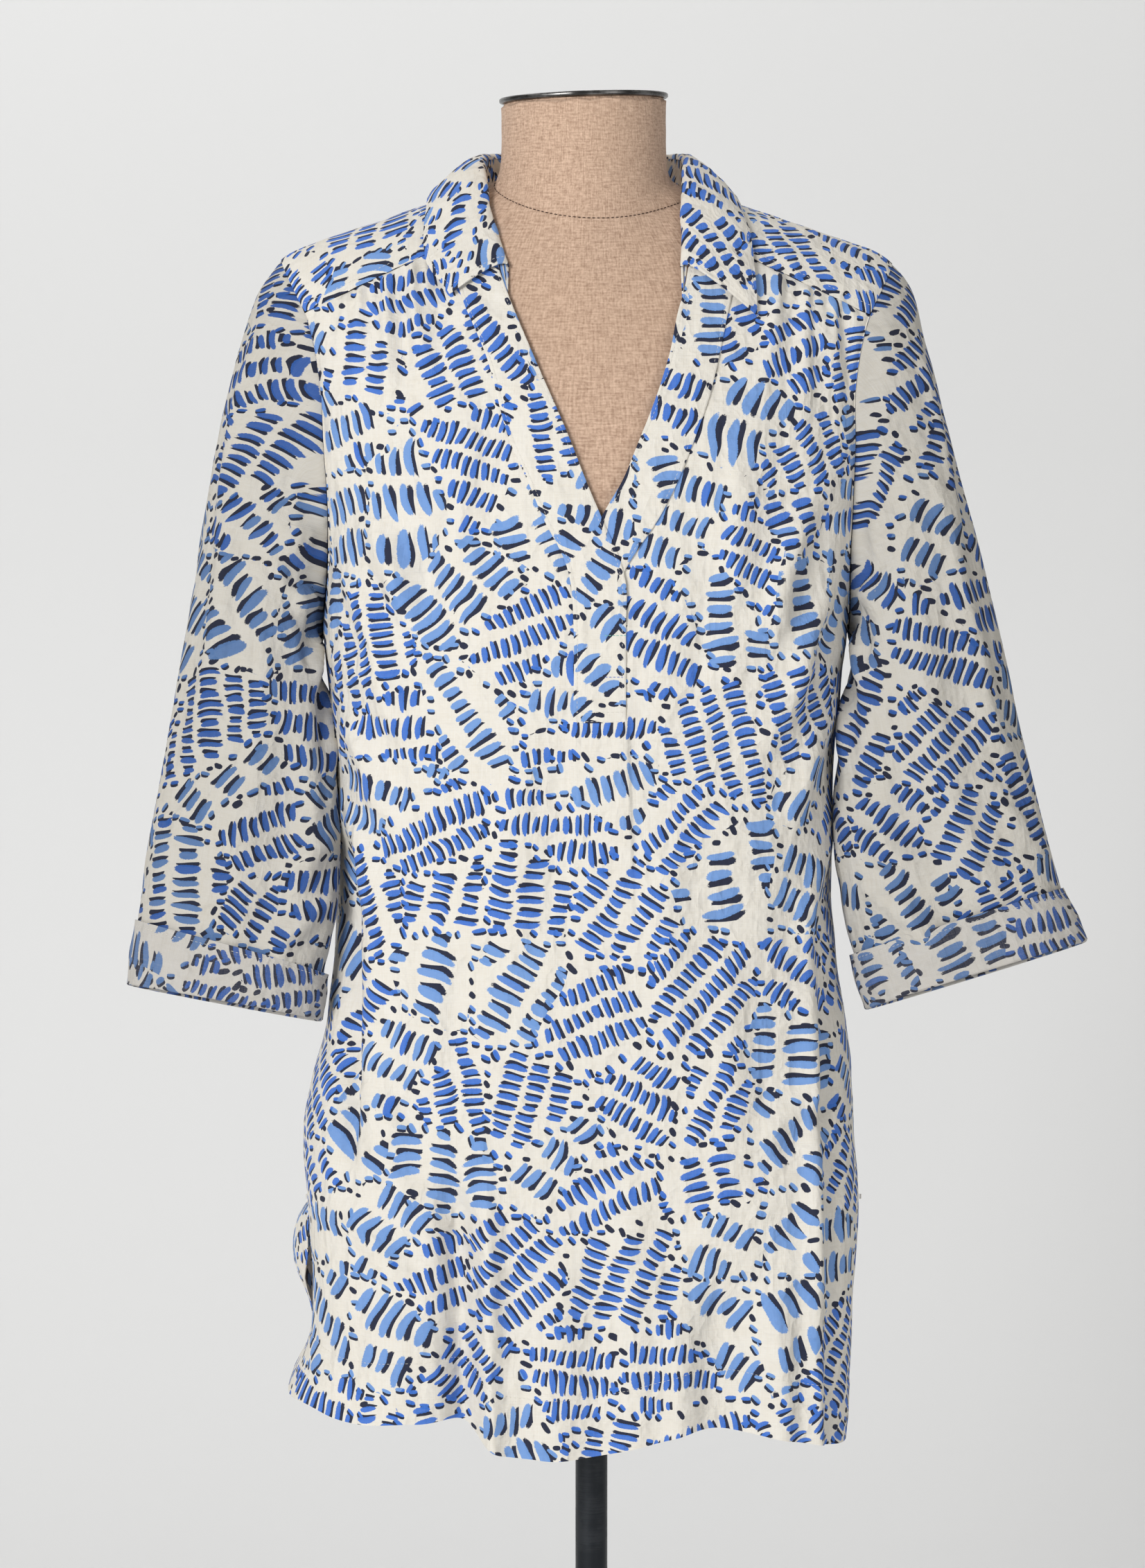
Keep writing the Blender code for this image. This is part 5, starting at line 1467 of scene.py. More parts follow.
def make_fall(u):
    """The fall, with its pressed points and edge."""
    grid, normal = fall_grid(u, 30)
    down, along = run_along(grid, 0), run_along(grid, 1)
    from_edge = down[-1:] - down
    nearest = np.minimum(from_edge, from_ends(grid, 1))
    soft = waves(along, down, 31, 0.05, 0.8) * sizes().rumple * 0.9 * ease(from_edge / 0.01)
    pressed = 0.0005 * bell(nearest - COLLAR_STITCH, 0.0010) + 0.0005 * ease(1 - nearest / 0.0012)
    outer = grid + normal * (soft - pressed * ease(down / 0.012))[..., None]
    patch = (outer, grid - normal * FALL_WALL, collar_places(grid, 1), False, 0)
    made = cloth("tunic_collar_fall", [patch], (look("print"), look("print")))
    MADE["collar_fall"] = (outer, normal)
    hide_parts("collar_fall")


def make_collar():
    """The shirt collar: its stand and its fall."""
    u = along_collar(161)
    make_stand(u)
    make_fall(u)


# ---------------- neck bands
def band_lift(name, x, z):
    """How far a band's underside stands off the front: the over band rides over the under band."""
    if name == "band_under":
        return np.full_like(x, 0.0003)
    crossing = ease((1.190 - z) / 0.02) * ease((z - 1.100) / 0.015) * ease((x + 0.022) / 0.010)
    return 0.0003 + crossing * 0.0014


def band_points(name, z, across):
    """Points on a band's outside, the directions that they face, and the points on the body below them."""
    edges = BANDS[name]
    outer_x = smooth(edges, "outer", z)
    x = outer_x + (smooth(edges, "inner", z) - outer_x) * across
    z = z + 0 * x
    base = points(x, surface_y(x, z, BEFORE), z)
    normal = surface_normal(base)
    relief = fold_relief(FRONT_FOLDS, x, z) * sizes().fold_strength
    edge = np.minimum(across, 1 - across) * BAND_WIDTH
    stand = BAND_STAND - 0.0006 * ease(1 - edge / 0.0010) - 0.00035 * bell(edge - 0.0022, 0.0008)
    pucker = 0.00022 * uneven(z, 900, 2, 130) * np.exp(-edge / 0.004)
    height = relief + band_lift(name, x, z) + stand + pucker + 0.00012 * waves(x, z, 41, 0.03, 0.8)
    return base + normal * height[..., None], normal, base


def make_band(name, piece, rows):
    """A neck band laid on the front."""
    z = np.linspace(BANDS[name]["z"][0], BANDS[name]["z"][-1], rows)[:, None]
    edge_steps = np.array((0.0, 0.02, 0.05, 0.075, 0.10, 0.14))
    across = np.concatenate([edge_steps, np.linspace(0.2, 0.8, 13), 1 - edge_steps[::-1]])[None]
    outer, normal, base = band_points(name, z, across)
    places = np.stack([base[..., 0] + 1.6, base[..., 2] * 1.04 + 0.3], axis=-1)
    patch = (outer, outer - normal * BAND_WALL, places, False, 0)
    made = cloth(piece, [patch], (look("print"), look("print")))
    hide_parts(name)
    return made


def make_bands():
    """The two neck bands: the wearer's right one laps over and runs on as the placket."""
    over = make_band("band_over", "tunic_band_over", 190)
    under = make_band("band_under", "tunic_band_under", 130)


# ---------------- sleeves
def sleeve_rings(side, angles):
    """The sleeve as rings from the armhole to its end, in the armhole's angles."""
    rows = SLEEVE_RIGHT if side < 0 else SLEEVE_LEFT
    start = armhole(angles, side)
    cos, sin = np.cos(np.radians(angles)), np.sin(np.radians(angles))
    power = 2 / SLEEVE_SQUARENESS
    along = -np.sign(cos) * np.abs(cos) ** power
    across = np.sign(sin) * np.abs(sin) ** power
    shoulder, underarm = armhole(np.array(180.0), side), armhole(np.array(0.0), side)
    flat = (shoulder + underarm) / 2 + (shoulder - underarm) / 2 * -cos[:, None]
    flat[:, 1] = -ARMHOLE_DEPTH * sin
    bow = start - flat
    rings = [start]
    for k, row in enumerate(zip(*rows.values()), start=1):
        outer_x, outer_z, inner_x, inner_z, deep, middle_y, lean, tilt = row
        outer = np.array([side * outer_x, middle_y, outer_z])
        inner = np.array([side * inner_x, middle_y, inner_z])
        blend = ease(k / 3)
        turn = (1 - blend) * -cos + blend * along
        ring = (outer + inner) / 2 + (outer - inner) / 2 * turn[:, None]
        forward = (1 - blend) * sin + blend * across
        ring[:, 0] -= side * lean * np.maximum(forward, 0.0) * (1 - turn) / 2
        ring[:, 1] -= deep * forward
        ring[:, 2] += tilt * forward
        rings.append(ring + bow * ease(1 - k / 4))
    return np.array(rings)


def ring_normal(rings):
    """Outward directions of a tube of rings."""
    return facing(grid_normal(rings, closed=True), rings - rings.mean(axis=1, keepdims=True))


def even_angles(side, count):
    """Angles that space points evenly round the sleeve, measured at a ring part of the way down."""
    dense = np.linspace(0.0, 360.0, 721)
    ring = sleeve_rings(side, dense)[3]     # well below the armhole's bow
    run = running(np.linalg.norm(np.diff(ring, axis=0), axis=1))
    return np.interp(np.linspace(0.0, run[-1], count + 1)[:-1], run, dense)


def sleeve_relief(angles, down, girth, side):
    """Height of the creases round a sleeve."""
    total = np.zeros((len(down), len(angles)))
    radius = girth[:, None] / FULL_TURN
    strength = sizes().fold_strength * (1.0 if side < 0 else 0.9)
    wander = 4.0 if side > 0 else 0.0
    for angle_top, top, angle_foot, foot, width, height, trough in zip(*SLEEVE_FOLDS.values()):
        share = (down[:, None] - top) / (foot - top)
        middle = angle_top + wander + (angle_foot - angle_top) * share
        away = np.radians((angles[None] - middle + 180.0) % 360.0 - 180.0) * radius
        ends = ease(share / FOLD_END) * ease((1 - share) / FOLD_END)
        total += height * ends * strength * crease(away, width, trough)
    return total


def closed_round(grid):
    """A tube's grid with its first column once more at the end."""
    return np.concatenate([grid, grid[:, :1]], axis=1)


def sleeve_cut_x(side):
    """Where the middle of a sleeve and its cuff lies in the cloth."""
    return 3.0 + side * 0.4


def sleeve_places(rings, angles, offset_x):
    """Flat places of a sleeve, out from its shoulder column and down it."""
    middle = int(np.argmin(np.abs(angles - 180)))
    closed = closed_round(rings)
    axis = unit(rings[-1].mean(axis=0) - rings[0].mean(axis=0))
    start = (closed[0] - rings[0, middle]) @ axis
    down = start[None] + run_along(closed, 0)
    step = np.linalg.norm(np.diff(closed, axis=1), axis=-1)
    level = np.sqrt(np.maximum(step ** 2 - np.diff(down, axis=1) ** 2, (0.3 * step) ** 2))
    round_it = np.cumsum(np.concatenate([0 * level[:, :1], level], axis=1), axis=1)
    return np.stack([round_it - round_it[:, middle:middle + 1] + offset_x, SLEEVE_CUT_Y - down], axis=-1)


def make_sleeve(name, piece, side):
    """A sleeve from the armhole to inside its cuff."""
    angles = even_angles(side, SLEEVE_ROUND)
    rings = through(sleeve_rings(side, angles), 104)[:-1]
    normal = ring_normal(rings)
    down = running(np.linalg.norm(np.diff(rings, axis=0), axis=-1).mean(axis=1))
    girth = run_along(closed_round(rings), 1)[:, -1]
    across = np.radians(angles)[None] * SLEEVE_RADIUS
    ripple = waves(across, down[:, None], 51 + side, 0.07, 0.5) * sizes().rumple * 1.1
    calm = ease(down / 0.012) * (0.25 + 0.75 * ease((down[-1] - down) / 0.035))
    height = (sleeve_relief(angles, down, girth, side) + ripple) * calm[:, None]
    height = np.maximum(height + seam_dip(down, *SIDE_DIP)[:, None], -0.0045)
    outer = rings + normal * height[..., None]
    places = sleeve_places(rings, angles, sleeve_cut_x(side))
    patch = (*walled(outer, ring_normal(outer)), places, True, 0)
    made = cloth(piece, [patch], (look("sleeve print with painted shade"), look("wrong side")))
    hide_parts(name)
    return made


def make_sleeves():
    """Both sleeves."""
    right = make_sleeve("sleeve_right", "tunic_sleeve_right", -1)
    left = make_sleeve("sleeve_left", "tunic_sleeve_left", 1)


def cuff_places(grid, angles, offset_x):
    """Flat places of a cuff, out from its shoulder column and down it."""
    middle = int(np.argmin(np.abs(angles - 180)))
    closed = closed_round(grid)
    round_it = run_along(closed, 1).mean(axis=0)[None]
    down = run_along(closed, 0).mean(axis=1)[:, None]
    return np.stack([offset_x - round_it + round_it[:, middle:middle + 1] + 0 * down,
                     CUFF_CUT_Y - down + 0 * round_it], axis=-1)


def make_cuff(name, piece, side):
    """The sleeve's end turned up: down the outside, round the fold, and up inside."""
    angles = even_angles(side, SLEEVE_ROUND)
    rings = sleeve_rings(side, angles)
    normal = ring_normal(rings)
    top, foot = rings[-2:]
    top_normal, foot_normal = normal[-2:]
    edge = top + (foot - top) * CUFF_LENGTH
    down = unit(foot - top)
    round_it = np.radians(angles) * SLEEVE_RADIUS
    flare = 0.0007 * uneven(round_it, 70.0, 2.0, 23.0)
    rows = []
    for share in np.linspace(0.0, 1.0, 22):
        stand = CUFF_STAND + 0.0006 * (1 - share) ** 2 + 0.0012 * math.sin(math.pi * share) ** 2
        soft = 0.0007 * waves(round_it, np.array(share * 0.04), 61 + side, 0.06, 0.5)
        facing_out = unit(top_normal + (foot_normal - top_normal) * share)
        height = stand + soft + flare * (1 - share)
        rows.append(top + (foot - top) * share * CUFF_LENGTH + facing_out * height[:, None])
    for turn in np.linspace(0.2, math.pi, 8):
        stand = (CUFF_STAND - CUFF_INSET) / 2 + (CUFF_STAND + CUFF_INSET) / 2 * math.cos(turn)
        rows.append(edge + down * 0.0013 * math.sin(turn) + foot_normal * stand)
    for share in np.linspace(0.1, 1.0, 6):
        rows.append(edge - down * CUFF_TURN * share - foot_normal * CUFF_INSET)
    outer = np.array(rows)
    outward = grid_normal(outer, closed=True)
    outward = outward * np.sign(np.sum(outward[:20] * top_normal[None]))
    patch = (outer, outer - outward * CUFF_WALL, cuff_places(outer, angles, sleeve_cut_x(side)), True, 0)
    made = cloth(piece, [patch], (look("wrong side"), look("wrong side")))
    MADE[piece] = outer
    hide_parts(name)
    return made


def make_cuffs():
    """Both turned-up cuffs."""
    right = make_cuff("cuff_right", "tunic_cuff_right", -1)
    left = make_cuff("cuff_left", "tunic_cuff_left", 1)


# ---------------- stitching
def stitch_tree():
    """Nodes that lay stitches along the edges of a mesh of lines."""
    tree = bpy.data.node_groups.new("stitches_along", "GeometryNodeTree")
    for name, kind in (("Geometry", "Geometry"), ("Length", "Float"), ("Gap", "Float"),
                       ("Thickness", "Float"), ("Material", "Material")):
        tree.interface.new_socket(name, in_out="INPUT", socket_type="NodeSocket" + kind)
    tree.interface.new_socket("Geometry", in_out="OUTPUT", socket_type="NodeSocketGeometry")

    def node(kind, settings, values):
        """A node's first output, from its settings and the values or links of its inputs."""
        made = tree.nodes.new(kind)
        for key, value in settings.items():
            setattr(made, key, value)
        for key, value in values.items():
            if isinstance(value, bpy.types.NodeSocket):
                tree.links.new(value, made.inputs[key])
            else:
                made.inputs[key].default_value = value
        return made.outputs[0]
    given = tree.nodes.new("NodeGroupInput").outputs
    curve_of_lines = node("GeometryNodeMeshToCurve", {}, {"Mesh": given["Geometry"]})
    pitch = node("ShaderNodeMath", {"operation": "ADD"}, {0: given["Length"], 1: given["Gap"]})
    even = node("GeometryNodeResampleCurve", {"mode": "LENGTH"}, {"Curve": curve_of_lines, "Length": pitch})
    tangent = node("GeometryNodeInputTangent", {}, {})
    turn = node("FunctionNodeAlignEulerToVector", {"axis": "X"}, {"Vector": tangent})
    bead = node("GeometryNodeMeshIcoSphere", {}, {"Radius": 0.5, "Subdivisions": 1})
    size = node("ShaderNodeCombineXYZ", {},
                {0: given["Length"], 1: given["Thickness"], 2: given["Thickness"]})
    laid = node("GeometryNodeInstanceOnPoints", {},
                {"Points": even, "Instance": bead, "Rotation": turn, "Scale": size})
    real = node("GeometryNodeRealizeInstances", {}, {"Geometry": laid})
    finished = node("GeometryNodeSetMaterial", {}, {"Geometry": real, "Material": given["Material"]})
    tree.links.new(finished, tree.nodes.new("NodeGroupOutput").inputs[0])
    return tree


def stitched(name, lines, finish, length, gap, thickness):
    """A plain mesh of stitches along lines of points."""
    mesh = bpy.data.meshes.new(name + "_lines")
    coordinates, edges = [], []
    for line in lines:
        start = len(coordinates)
        coordinates += [tuple(p) for p in line]
        edges += [(i, i + 1) for i in range(start, len(coordinates) - 1)]
    mesh.from_pydata(coordinates, edges, [])
    carrier = bpy.data.objects.new(name + "_carrier", mesh)
    bpy.context.scene.collection.objects.link(carrier)
    modifier = carrier.modifiers.new("stitches", "NODES")
    tree = bpy.data.node_groups.get("stitches_along") or stitch_tree()
    modifier.node_group = tree
    wanted = {"Length": length, "Gap": gap, "Thickness": thickness, "Material": finish}
    for item in tree.interface.items_tree:
        if item.in_out == "INPUT" and item.name in wanted:
            modifier[item.identifier] = wanted[item.name]
    bpy.context.view_layer.update()
    ready = carrier.evaluated_get(bpy.context.evaluated_depsgraph_get())
    plain = bpy.data.meshes.new_from_object(ready)
    bpy.data.objects.remove(carrier, do_unlink=True)
    if not plain.polygons:
        raise RuntimeError(f"no stitches on {name}")
    plain.name = name
    plain.shade_smooth()
    return placed(name, plain)


def at_level(values, grid, wanted):
    """The point of each column of a grid where its values reach what is wanted."""
    line = []
    for c in range(grid.shape[1]):
        order = np.argsort(values[:, c])
        line.append([np.interp(wanted, values[order, c], grid[order, c, k]) for k in range(3)])
    return np.array(line)


def hem_lines():
    """Stitch lines round the hem and up the slits."""
    lines = []
    for name, y_sign, hem in (("tunic_front", BEFORE, "front"), ("tunic_back", BEHIND, "back")):
        lift = np.array((0, y_sign * THREAD_LIFT, 0))
        for base, outer in MADE[name].values():
            up = base[..., 2] - smooth(HEM, hem, base[..., 0])
            lines.append(at_level(up[:60], outer[:60], HEM_DEPTH)[:-3] + lift)
            inset = outer.shape[1] - 5
            below = int(np.argmax(base[:, inset, 2] > SLIT_TOP_Z))
            lines.append(outer[:below, inset] + lift)
    return lines


def on_band(name, z, across, lift=BAND_THREAD_LIFT):
    """A stitch line on a band, at heights and shares of its width."""
    outer, normal, _ = band_points(name, z + 0 * across, across + 0 * z)
    return outer + normal * lift


def band_lines():
    """Edge stitches on the neck bands, and the box at the placket's foot."""
    lines = []
    for name, low, high, count in (("band_over", BOX_STITCH_Z[0], 1.340, 260),
                                   ("band_under", 1.135, 1.338, 180)):
        for across in (BAND_STITCH, 1 - BAND_STITCH):
            lines.append(on_band(name, np.linspace(low, high, count), across))
    for z in BOX_STITCH_Z:
        lines.append(on_band("band_over", z, np.linspace(BAND_STITCH, 1 - BAND_STITCH, 40)))
    return lines


def collar_lines():
    """Edge stitches on the collar's fall: along both ends and round the edge."""
    outer, normal = MADE["collar_fall"]
    raised = outer + normal * FALL_THREAD_LIFT
    down = run_along(outer, 0)
    from_edge = down[-1:] - down
    lines = [at_level(-from_edge, raised, -COLLAR_STITCH)[3:-3]]
    for column in (3, -4):
        keep = from_edge[:, column] > COLLAR_STITCH
        lines.append(raised[keep][6:, column])
    return lines


def yoke_lines():
    """Edge stitches on the yoke, above its front seams and its back seam."""
    outer = MADE["yoke"]
    raised = outer + facing(grid_normal(outer), UP) * THREAD_LIFT
    return [raised[1:-1, 1], raised[1:-1, -2], raised[-2, 27:-27]]


def cuff_lines():
    """Stitches under the top edge of each cuff."""
    lines = []
    for piece in ("tunic_cuff_right", "tunic_cuff_left"):
        outer = MADE[piece]
        ring = outer[2] + unit(outer[1] - outer[1].mean(axis=0)) * 0.00012
        lines.append(np.concatenate([ring, ring[:1]]))
    return lines


def tack_lines():
    """Bar tacks at the tops of the slits."""
    lines = []
    reach = np.linspace(-0.0035, 0.0010, 3)
    for side in (-1, 1):
        x = edge_x(side, BEFORE, np.array(SLIT_TOP_Z)) + side * 0.0012
        for k in range(7):
            lines.append(points(x + side * reach, -0.004 - 0.0002 * k, SLIT_TOP_Z + 0.0005 * k))
    return lines


def make_stitching():
    """All the sewing thread that shows on the tunic."""
    size = sizes()
    lines = hem_lines() + band_lines() + collar_lines() + yoke_lines() + cuff_lines()
    seams = stitched("tunic_stitching", lines, look("thread"), size.stitch_length, size.stitch_gap,
                     size.thread)
    tacks = stitched("tunic_bar_tacks", tack_lines(), look("thread"), 0.0016, 0.0001, 0.0006)
    for name, z, high, finish in (("tunic_mark_green", 1.0975, 0.98, "green thread"),
                                  ("tunic_mark_blue", 1.0705, 0.93, "blue thread")):
        line = on_band("band_over", z, np.linspace(0.62, high, 12), THREAD_LIFT)
        mark = stitched(name, [line], look(finish), 0.0022, 0.0002, 0.0005)


# ---------------- the dress form
def inside_torso(x, y, z):
    """Which points lie in the dress form's torso."""
    width = smooth(FORM, "width", z)
    reach = np.where(y < 0, smooth(FORM, "front", z), smooth(FORM, "back", z))
    share = np.minimum(np.abs(x) / width, 1.0)
    t = np.clip((z - UNDERARM_Z) / (ridge_z(x) - SHOULDER_DROP - UNDERARM_Z), 0.0, 1.0)
    full = (1 - share ** FORM_ROUNDING) ** (1 / FORM_ROUNDING)
    return (share < 1) & (np.abs(y) < reach * full * np.sqrt(1 - t * t))


def form_outline(turn, z):
    """The form's outside in each direction at each height: the torso runs softly into the neck."""
    across, along = np.sin(turn), -np.cos(turn)
    near = np.zeros(np.broadcast(turn, z).shape)
    far = near + 0.25
    for _ in range(24):
        half = (near + far) / 2
        hit = inside_torso(across * half, NECK_MIDDLE_Y + along * half, z + 0 * half)
        near = np.where(hit, half, near)
        far = np.where(hit, far, half)
    blend = NECK_FILLET * ease((NECK_TOP_Z - 0.02 - z) / 0.03) * ease((z - NECK_FOOT_Z) / 0.05)
    neck = NECK_RADIUS * (z > NECK_FOOT_Z)
    reach = (near + neck + np.sqrt((near - neck) ** 2 + blend ** 2)) / 2
    return points(across * reach, NECK_MIDDLE_Y + along * reach, z + 0 * reach)


def neck_seam_height(turn):
    """The seam round the foot of the form's neck, lower at the front."""
    fall = NECK_SEAM_LEAN * NECK_SEAM_REACH
    return NECK_SEAM_SIDE_Z - fall * np.cos(turn) - NECK_SEAM_TILT * np.sin(turn)


def softened(grid):
    """A closed-round grid with its creases evened out, but for its first and last rows."""
    soft = grid.copy()
    for _ in range(3):
        around = (np.roll(soft, 1, axis=1) + np.roll(soft, -1, axis=1)) / 2
        along = (soft[:-2] + soft[2:]) / 2
        soft[1:-1] = soft[1:-1] * 0.5 + (around[1:-1] + along) * 0.25
    return soft


def cover_relief(turn, z):
    """Height of the cover's neck seam, its puckers and pleat under the cap, and its unevenness."""
    seam = z - neck_seam_height(turn)
    groove = 0.0003 * bell(np.abs(seam) - 0.003, 0.0015) - 0.0011 * bell(seam, 0.0010)
    below_top = NECK_TOP_Z - z
    pucker = 0.0006 * uneven(turn, 46, 2, 9) * np.exp(-below_top / 0.004)
    pleat = 0.0013 * bell(turn - 0.42, 0.035) * np.exp(-below_top / 0.006)
    ragged_edge = 0.0020 + 0.0009 * uneven(turn, 11, 1.5, 5)
    tucked = 0.0022 * ease(1.25 - below_top / ragged_edge)
    weave = 0.00015 * waves(turn * 0.09, z, 71, 0.04, 1.2)
    return groove * ease((z - 1.36) / 0.02) + pucker + pleat - tucked + weave


def make_form_body():
    """The covered torso and neck, with its neck seam and the cloth tucked under the cap."""
    turn = (np.arange(FORM_ROUND) * FULL_TURN / FORM_ROUND)[None]
    heights = np.concatenate([np.linspace(*row) for row in FORM_ROWS])[:, None]
    grid = softened(form_outline(turn, heights))
    z = grid[..., 2]
    tilt = ease((z - 1.40) / 0.05) * math.tan(NECK_TILT)
    grid = grid + ring_normal(grid) * cover_relief(turn, z)[..., None]
    grid[..., 2] += grid[..., 0] * tilt
    round_it = closed_round(grid)
    across = run_along(round_it, 1)
    places = np.stack([across - across[:, -1:] / 2, run_along(round_it, 0)], axis=-1)
    rows, columns = grid.shape[:2]
    corners, wraps = skin_quads(rows, columns, True)
    coordinates = grid.reshape(-1, 3).tolist()
    faces = corners.tolist()
    ends = []
    foot_ring, top_ring = list(range(columns)), list(range((rows - 1) * columns, rows * columns))
    for ring in (foot_ring, top_ring):
        middle = len(coordinates)
        coordinates.append(np.mean([coordinates[i] for i in ring], axis=0).tolist())
        for i, j in zip(ring, ring[1:] + ring[:1]):
            faces.append((i, j, middle) if ring is top_ring else (j, i, middle))
            ends += [coordinates[k][:2] for k in faces[-1]]
    flat = places.reshape(-1, 2)[wraps].reshape(-1, 2)
    mesh = wrapped("dress_form", coordinates, faces, np.concatenate([flat, ends]), [look("linen")])
    closed_up(mesh, False, 50)
    made = placed("dress_form", mesh)
    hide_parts("form_body")
    turns = np.linspace(0, FULL_TURN, 361)
    line = form_outline(turns, neck_seam_height(turns))
    sunk = unit((line - (0, NECK_MIDDLE_Y, 0)) * IN_PLAN) * 0.0001
    thread = stitched("form_neck_stitches", [line - sunk], look("brown thread"), 0.0026, 0.0006, 0.0008)


def turned(name, profile, finish, segments):
    """A turned piece from a profile of (radius, height) points that starts and ends on the axis."""
    angles = np.arange(segments) * FULL_TURN / segments
    work = bmesh.new()
    rings = []
    for radius, height in profile:
        round_it = angles if radius else angles[:1]
        rings.append([work.verts.new((radius * math.cos(a), radius * math.sin(a), height))
                      for a in round_it])
    for low, high in zip(rings, rings[1:]):
        for k in range(segments):
            n = (k + 1) % segments
            corners = (low[k % len(low)], low[n % len(low)], high[n % len(high)], high[k % len(high)])
            work.faces.new(list(dict.fromkeys(corners)))
    mesh = bpy.data.meshes.new(name)
    work.to_mesh(mesh)
    work.free()
    mesh.materials.append(finish)
    closed_up(mesh, False, 35)
    return mesh


def rounded(profile, radius):
    """A profile with its corners cut by short curves."""
    out = [profile[0]]
    for before, corner, after in zip(profile, profile[1:], profile[2:]):
        a, b, c = (np.array(p, float) for p in (before, corner, after))
        near = min(radius, np.linalg.norm(a - b) / 2.1, np.linalg.norm(c - b) / 2.1)
        p, q = b + unit(a - b) * near, b + unit(c - b) * near
        for t in (0.0, 0.25, 0.5, 0.75, 1.0):
            out.append(tuple((1 - t) ** 2 * p + 2 * t * (1 - t) * b + t * t * q))
    out.append(profile[-1])
    return [(max(0.0, float(r)), float(z)) for r, z in out]


def make_cap():
    """The worn cap on the neck, tilted as the neck's top is."""
    rim, top = CAP_RADIUS, CAP_HEIGHT
    profile = rounded(((0.0, 0.0), (rim - 0.0012, 0.0), (rim, 0.0009), (rim, top - 0.0008),
                       (rim - 0.0010, top), (rim - 0.0035, top - 0.0006), (0.0, top - 0.0004)), 0.0007)
    mesh = turned("form_neck_cap", profile, look("cap"), 128)
    mesh.transform(Matrix.Rotation(-NECK_TILT, 4, "Y"))
    mesh.transform(Matrix.Translation((0.0, NECK_MIDDLE_Y, NECK_TOP_Z + RIGID_GAP)))
    cap = placed("form_neck_cap", mesh)
    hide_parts("form_cap")


def make_pole():
    """The pole between the base and the form."""
    low, high = BOSS_TOP_Z + RIGID_GAP, FORM_FOOT_Z - RIGID_GAP
    profile = ((0.0, low), (POLE_RADIUS, low), (POLE_RADIUS, high), (0.0, high))
    pole = placed("form_stand_pole", turned("form_stand_pole", profile, look("pole"), 72), 0.0)
    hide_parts("form_pole")


def make_base():
    """The round base with its low boss."""
    profile = rounded(((0.0, 0.0), (BASE_RADIUS, 0.0), (BASE_RADIUS, BASE_EDGE * 0.7),
                       (BASE_RADIUS - 0.003, BASE_EDGE), (BOSS_RADIUS + 0.004, BASE_MIDDLE),
                       (BOSS_RADIUS, BASE_MIDDLE + 0.004), (BOSS_RADIUS, BOSS_TOP_Z - 0.002),
                       (BOSS_RADIUS - 0.002, BOSS_TOP_Z), (0.0, BOSS_TOP_Z)), 0.0012)
    base = placed("form_round_base", turned("form_round_base", profile, look("pole"), 128), 0.0)
    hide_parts("form_base")


def make_form_hardware():
    """The form's steel pieces."""
    make_cap()
    make_pole()
    make_base()


# ---------------- stage
FORM_MIDDLE = (0.0, 0.0, 1.0)
SWEEP_START_Y = -4.5            # where the ground begins, in front of the form
SWEEP_BEND_Y = 1.6              # where it starts to curve up behind
SWEEP_RADIUS = 1.2
SWEEP_TOP_Z = 5.0
SWEEP_HALF_WIDTH = 6.0


def aimed(name, data, place, aim):
    """A camera or a light at a place, turned to an aim."""
    made = bpy.data.objects.new(name, data)
    made.location = place
    made.rotation_euler = (Vector(aim) - Vector(place)).to_track_quat("-Z", "Y").to_euler()
    bpy.context.scene.collection.objects.link(made)
    return made


def area_light(name, place, aim, width, height, power):
    """A rectangular light."""
    data = bpy.data.lights.new(name, "AREA")
    data.shape = "RECTANGLE"
    data.size = width
    data.size_y = height
    data.energy = power
    aimed(name, data, place, aim)


def make_ground():
    """A pale ground that curves up behind."""
    bend = [(SWEEP_BEND_Y + SWEEP_RADIUS * math.sin(a), SWEEP_RADIUS * (1 - math.cos(a)))
            for a in np.linspace(0.1, math.pi / 2, 12)]
    profile = [(SWEEP_START_Y, 0.0), (SWEEP_BEND_Y, 0.0), *bend, (SWEEP_BEND_Y + SWEEP_RADIUS, SWEEP_TOP_Z)]
    coordinates = [(x, y, z) for y, z in profile for x in (-SWEEP_HALF_WIDTH, SWEEP_HALF_WIDTH)]
    faces = [(2 * i, 2 * i + 1, 2 * i + 3, 2 * i + 2) for i in range(len(profile) - 1)]
    mesh = bpy.data.meshes.new("pale_sweep")
    mesh.from_pydata(coordinates, [], faces)
    mesh.materials.append(look("ground"))
    mesh.shade_smooth()
    ground = bpy.data.objects.new("pale_sweep", mesh)
    bpy.context.scene.collection.objects.link(ground)


def make_stage():
    """The camera, the lights, the sky and the ground."""
    scene = bpy.context.scene
    studio = scene.tunic_studio
    data = bpy.data.cameras.new("studio_camera")
    data.sensor_fit = "VERTICAL"
    data.sensor_height = 36.0
    data.lens = studio.lens
    scene.camera = aimed("studio_camera", data,
                         (studio.aside, -studio.camera_distance, studio.camera_height),
                         (studio.aside, 0.0, studio.aim_height))
    make_ground()
    area_light("key_light", (-2.5, -4.5, 2.35), FORM_MIDDLE, 1.6, 1.6, studio.key)
    area_light("fill_light", (2.4, -2.6, 1.6), FORM_MIDDLE, 1.6, 2.2, studio.fill)
    area_light("ground_light", (-0.8, 1.6, 4.0), (-0.8, 1.9, 0.0), 3.4, 1.2, studio.key * 0.237)
    world = bpy.data.worlds.new("soft_sky")
    world.use_nodes = True
    sky = world.node_tree.nodes["Background"]
    sky.inputs["Color"].default_value = (1.0, 0.995, 0.985, 1.0)
    sky.inputs["Strength"].default_value = studio.sky
    scene.world = world
    scene.view_settings.view_transform = "Standard"
    scene.view_settings.look = "None"


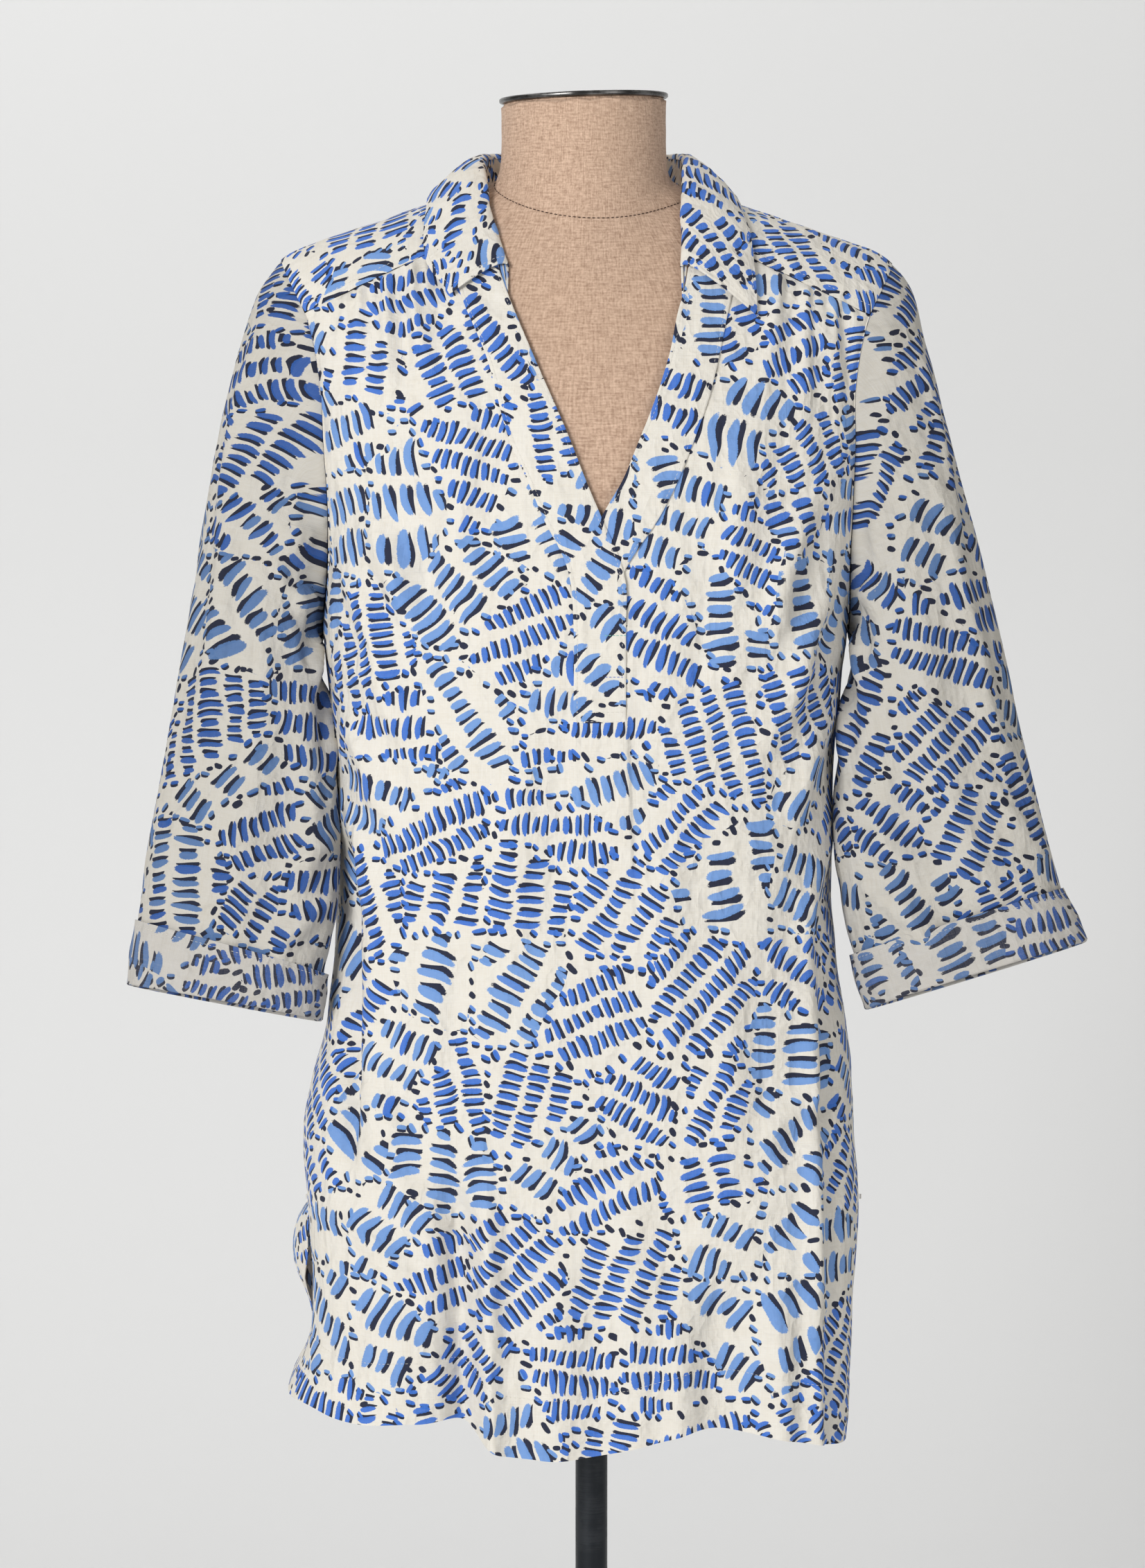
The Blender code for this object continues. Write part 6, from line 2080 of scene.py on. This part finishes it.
# ---------------- the add-on
def piece_operator(word, label, text, make):
    """An operator class that makes one piece or group of like pieces."""
    def execute(self, context):
        make()
        return {"FINISHED"}
    return type("TUNIC_OT_" + word, (bpy.types.Operator,), {
        "__doc__": text, "bl_idname": "tunic." + word, "bl_label": label,
        "bl_options": {"REGISTER", "UNDO"}, "execute": execute})


OPERATORS = (
    piece_operator("stage", "Stage", "Make the camera, the lights and the ground", make_stage),
    piece_operator("form_body", "Form", "Make the covered torso and neck", make_form_body),
    piece_operator("form_hardware", "Cap, pole, base", "Make the form's steel pieces", make_form_hardware),
    piece_operator("front", "Front", "Make the front panel", make_front),
    piece_operator("back", "Back", "Make the back panel", make_back),
    piece_operator("yoke", "Yoke", "Make the shoulder yoke", make_yoke),
    piece_operator("collar", "Collar", "Make the collar's stand and fall", make_collar),
    piece_operator("bands", "Neck bands", "Make the two neck bands", make_bands),
    piece_operator("sleeves", "Sleeves", "Make both sleeves", make_sleeves),
    piece_operator("cuffs", "Cuffs", "Make both turned-up cuffs", make_cuffs),
    piece_operator("stitching", "Stitching", "Lay the stitches and thread marks", make_stitching),
)


class TUNIC_PT_pieces(bpy.types.Panel):
    """The pieces, and the settings that they are made from."""
    bl_idname = "TUNIC_PT_pieces"
    bl_label = "Tunic on a Dress Form"
    bl_space_type = "VIEW_3D"
    bl_region_type = "UI"
    bl_category = "Tunic"

    def draw(self, context):
        layout = self.layout
        for operator in OPERATORS:
            layout.operator(operator.bl_idname)
        for group in ("tunic_sizes", "tunic_colours", "tunic_studio"):
            settings = getattr(context.scene, group)
            box = layout.box()
            for name in settings.__annotations__:
                box.prop(settings, name)


GROUPS = {"tunic_sizes": TunicSizes, "tunic_colours": TunicColours, "tunic_studio": StudioSettings}


def register():
    for group in GROUPS.values():
        bpy.utils.register_class(group)
    for name, group in GROUPS.items():
        setattr(bpy.types.Scene, name, PointerProperty(type=group))
    for operator in OPERATORS:
        bpy.utils.register_class(operator)
    bpy.utils.register_class(TUNIC_PT_pieces)


def unregister():
    bpy.utils.unregister_class(TUNIC_PT_pieces)
    for operator in reversed(OPERATORS):
        bpy.utils.unregister_class(operator)
    for name, group in GROUPS.items():
        delattr(bpy.types.Scene, name)
        bpy.utils.unregister_class(group)


def main():
    """Makes every piece in order, and writes the sizes."""
    register()
    for operator in OPERATORS:
        group, word = operator.bl_idname.split(".")
        getattr(getattr(bpy.ops, group), word)()


if __name__ == "__main__":
    main()
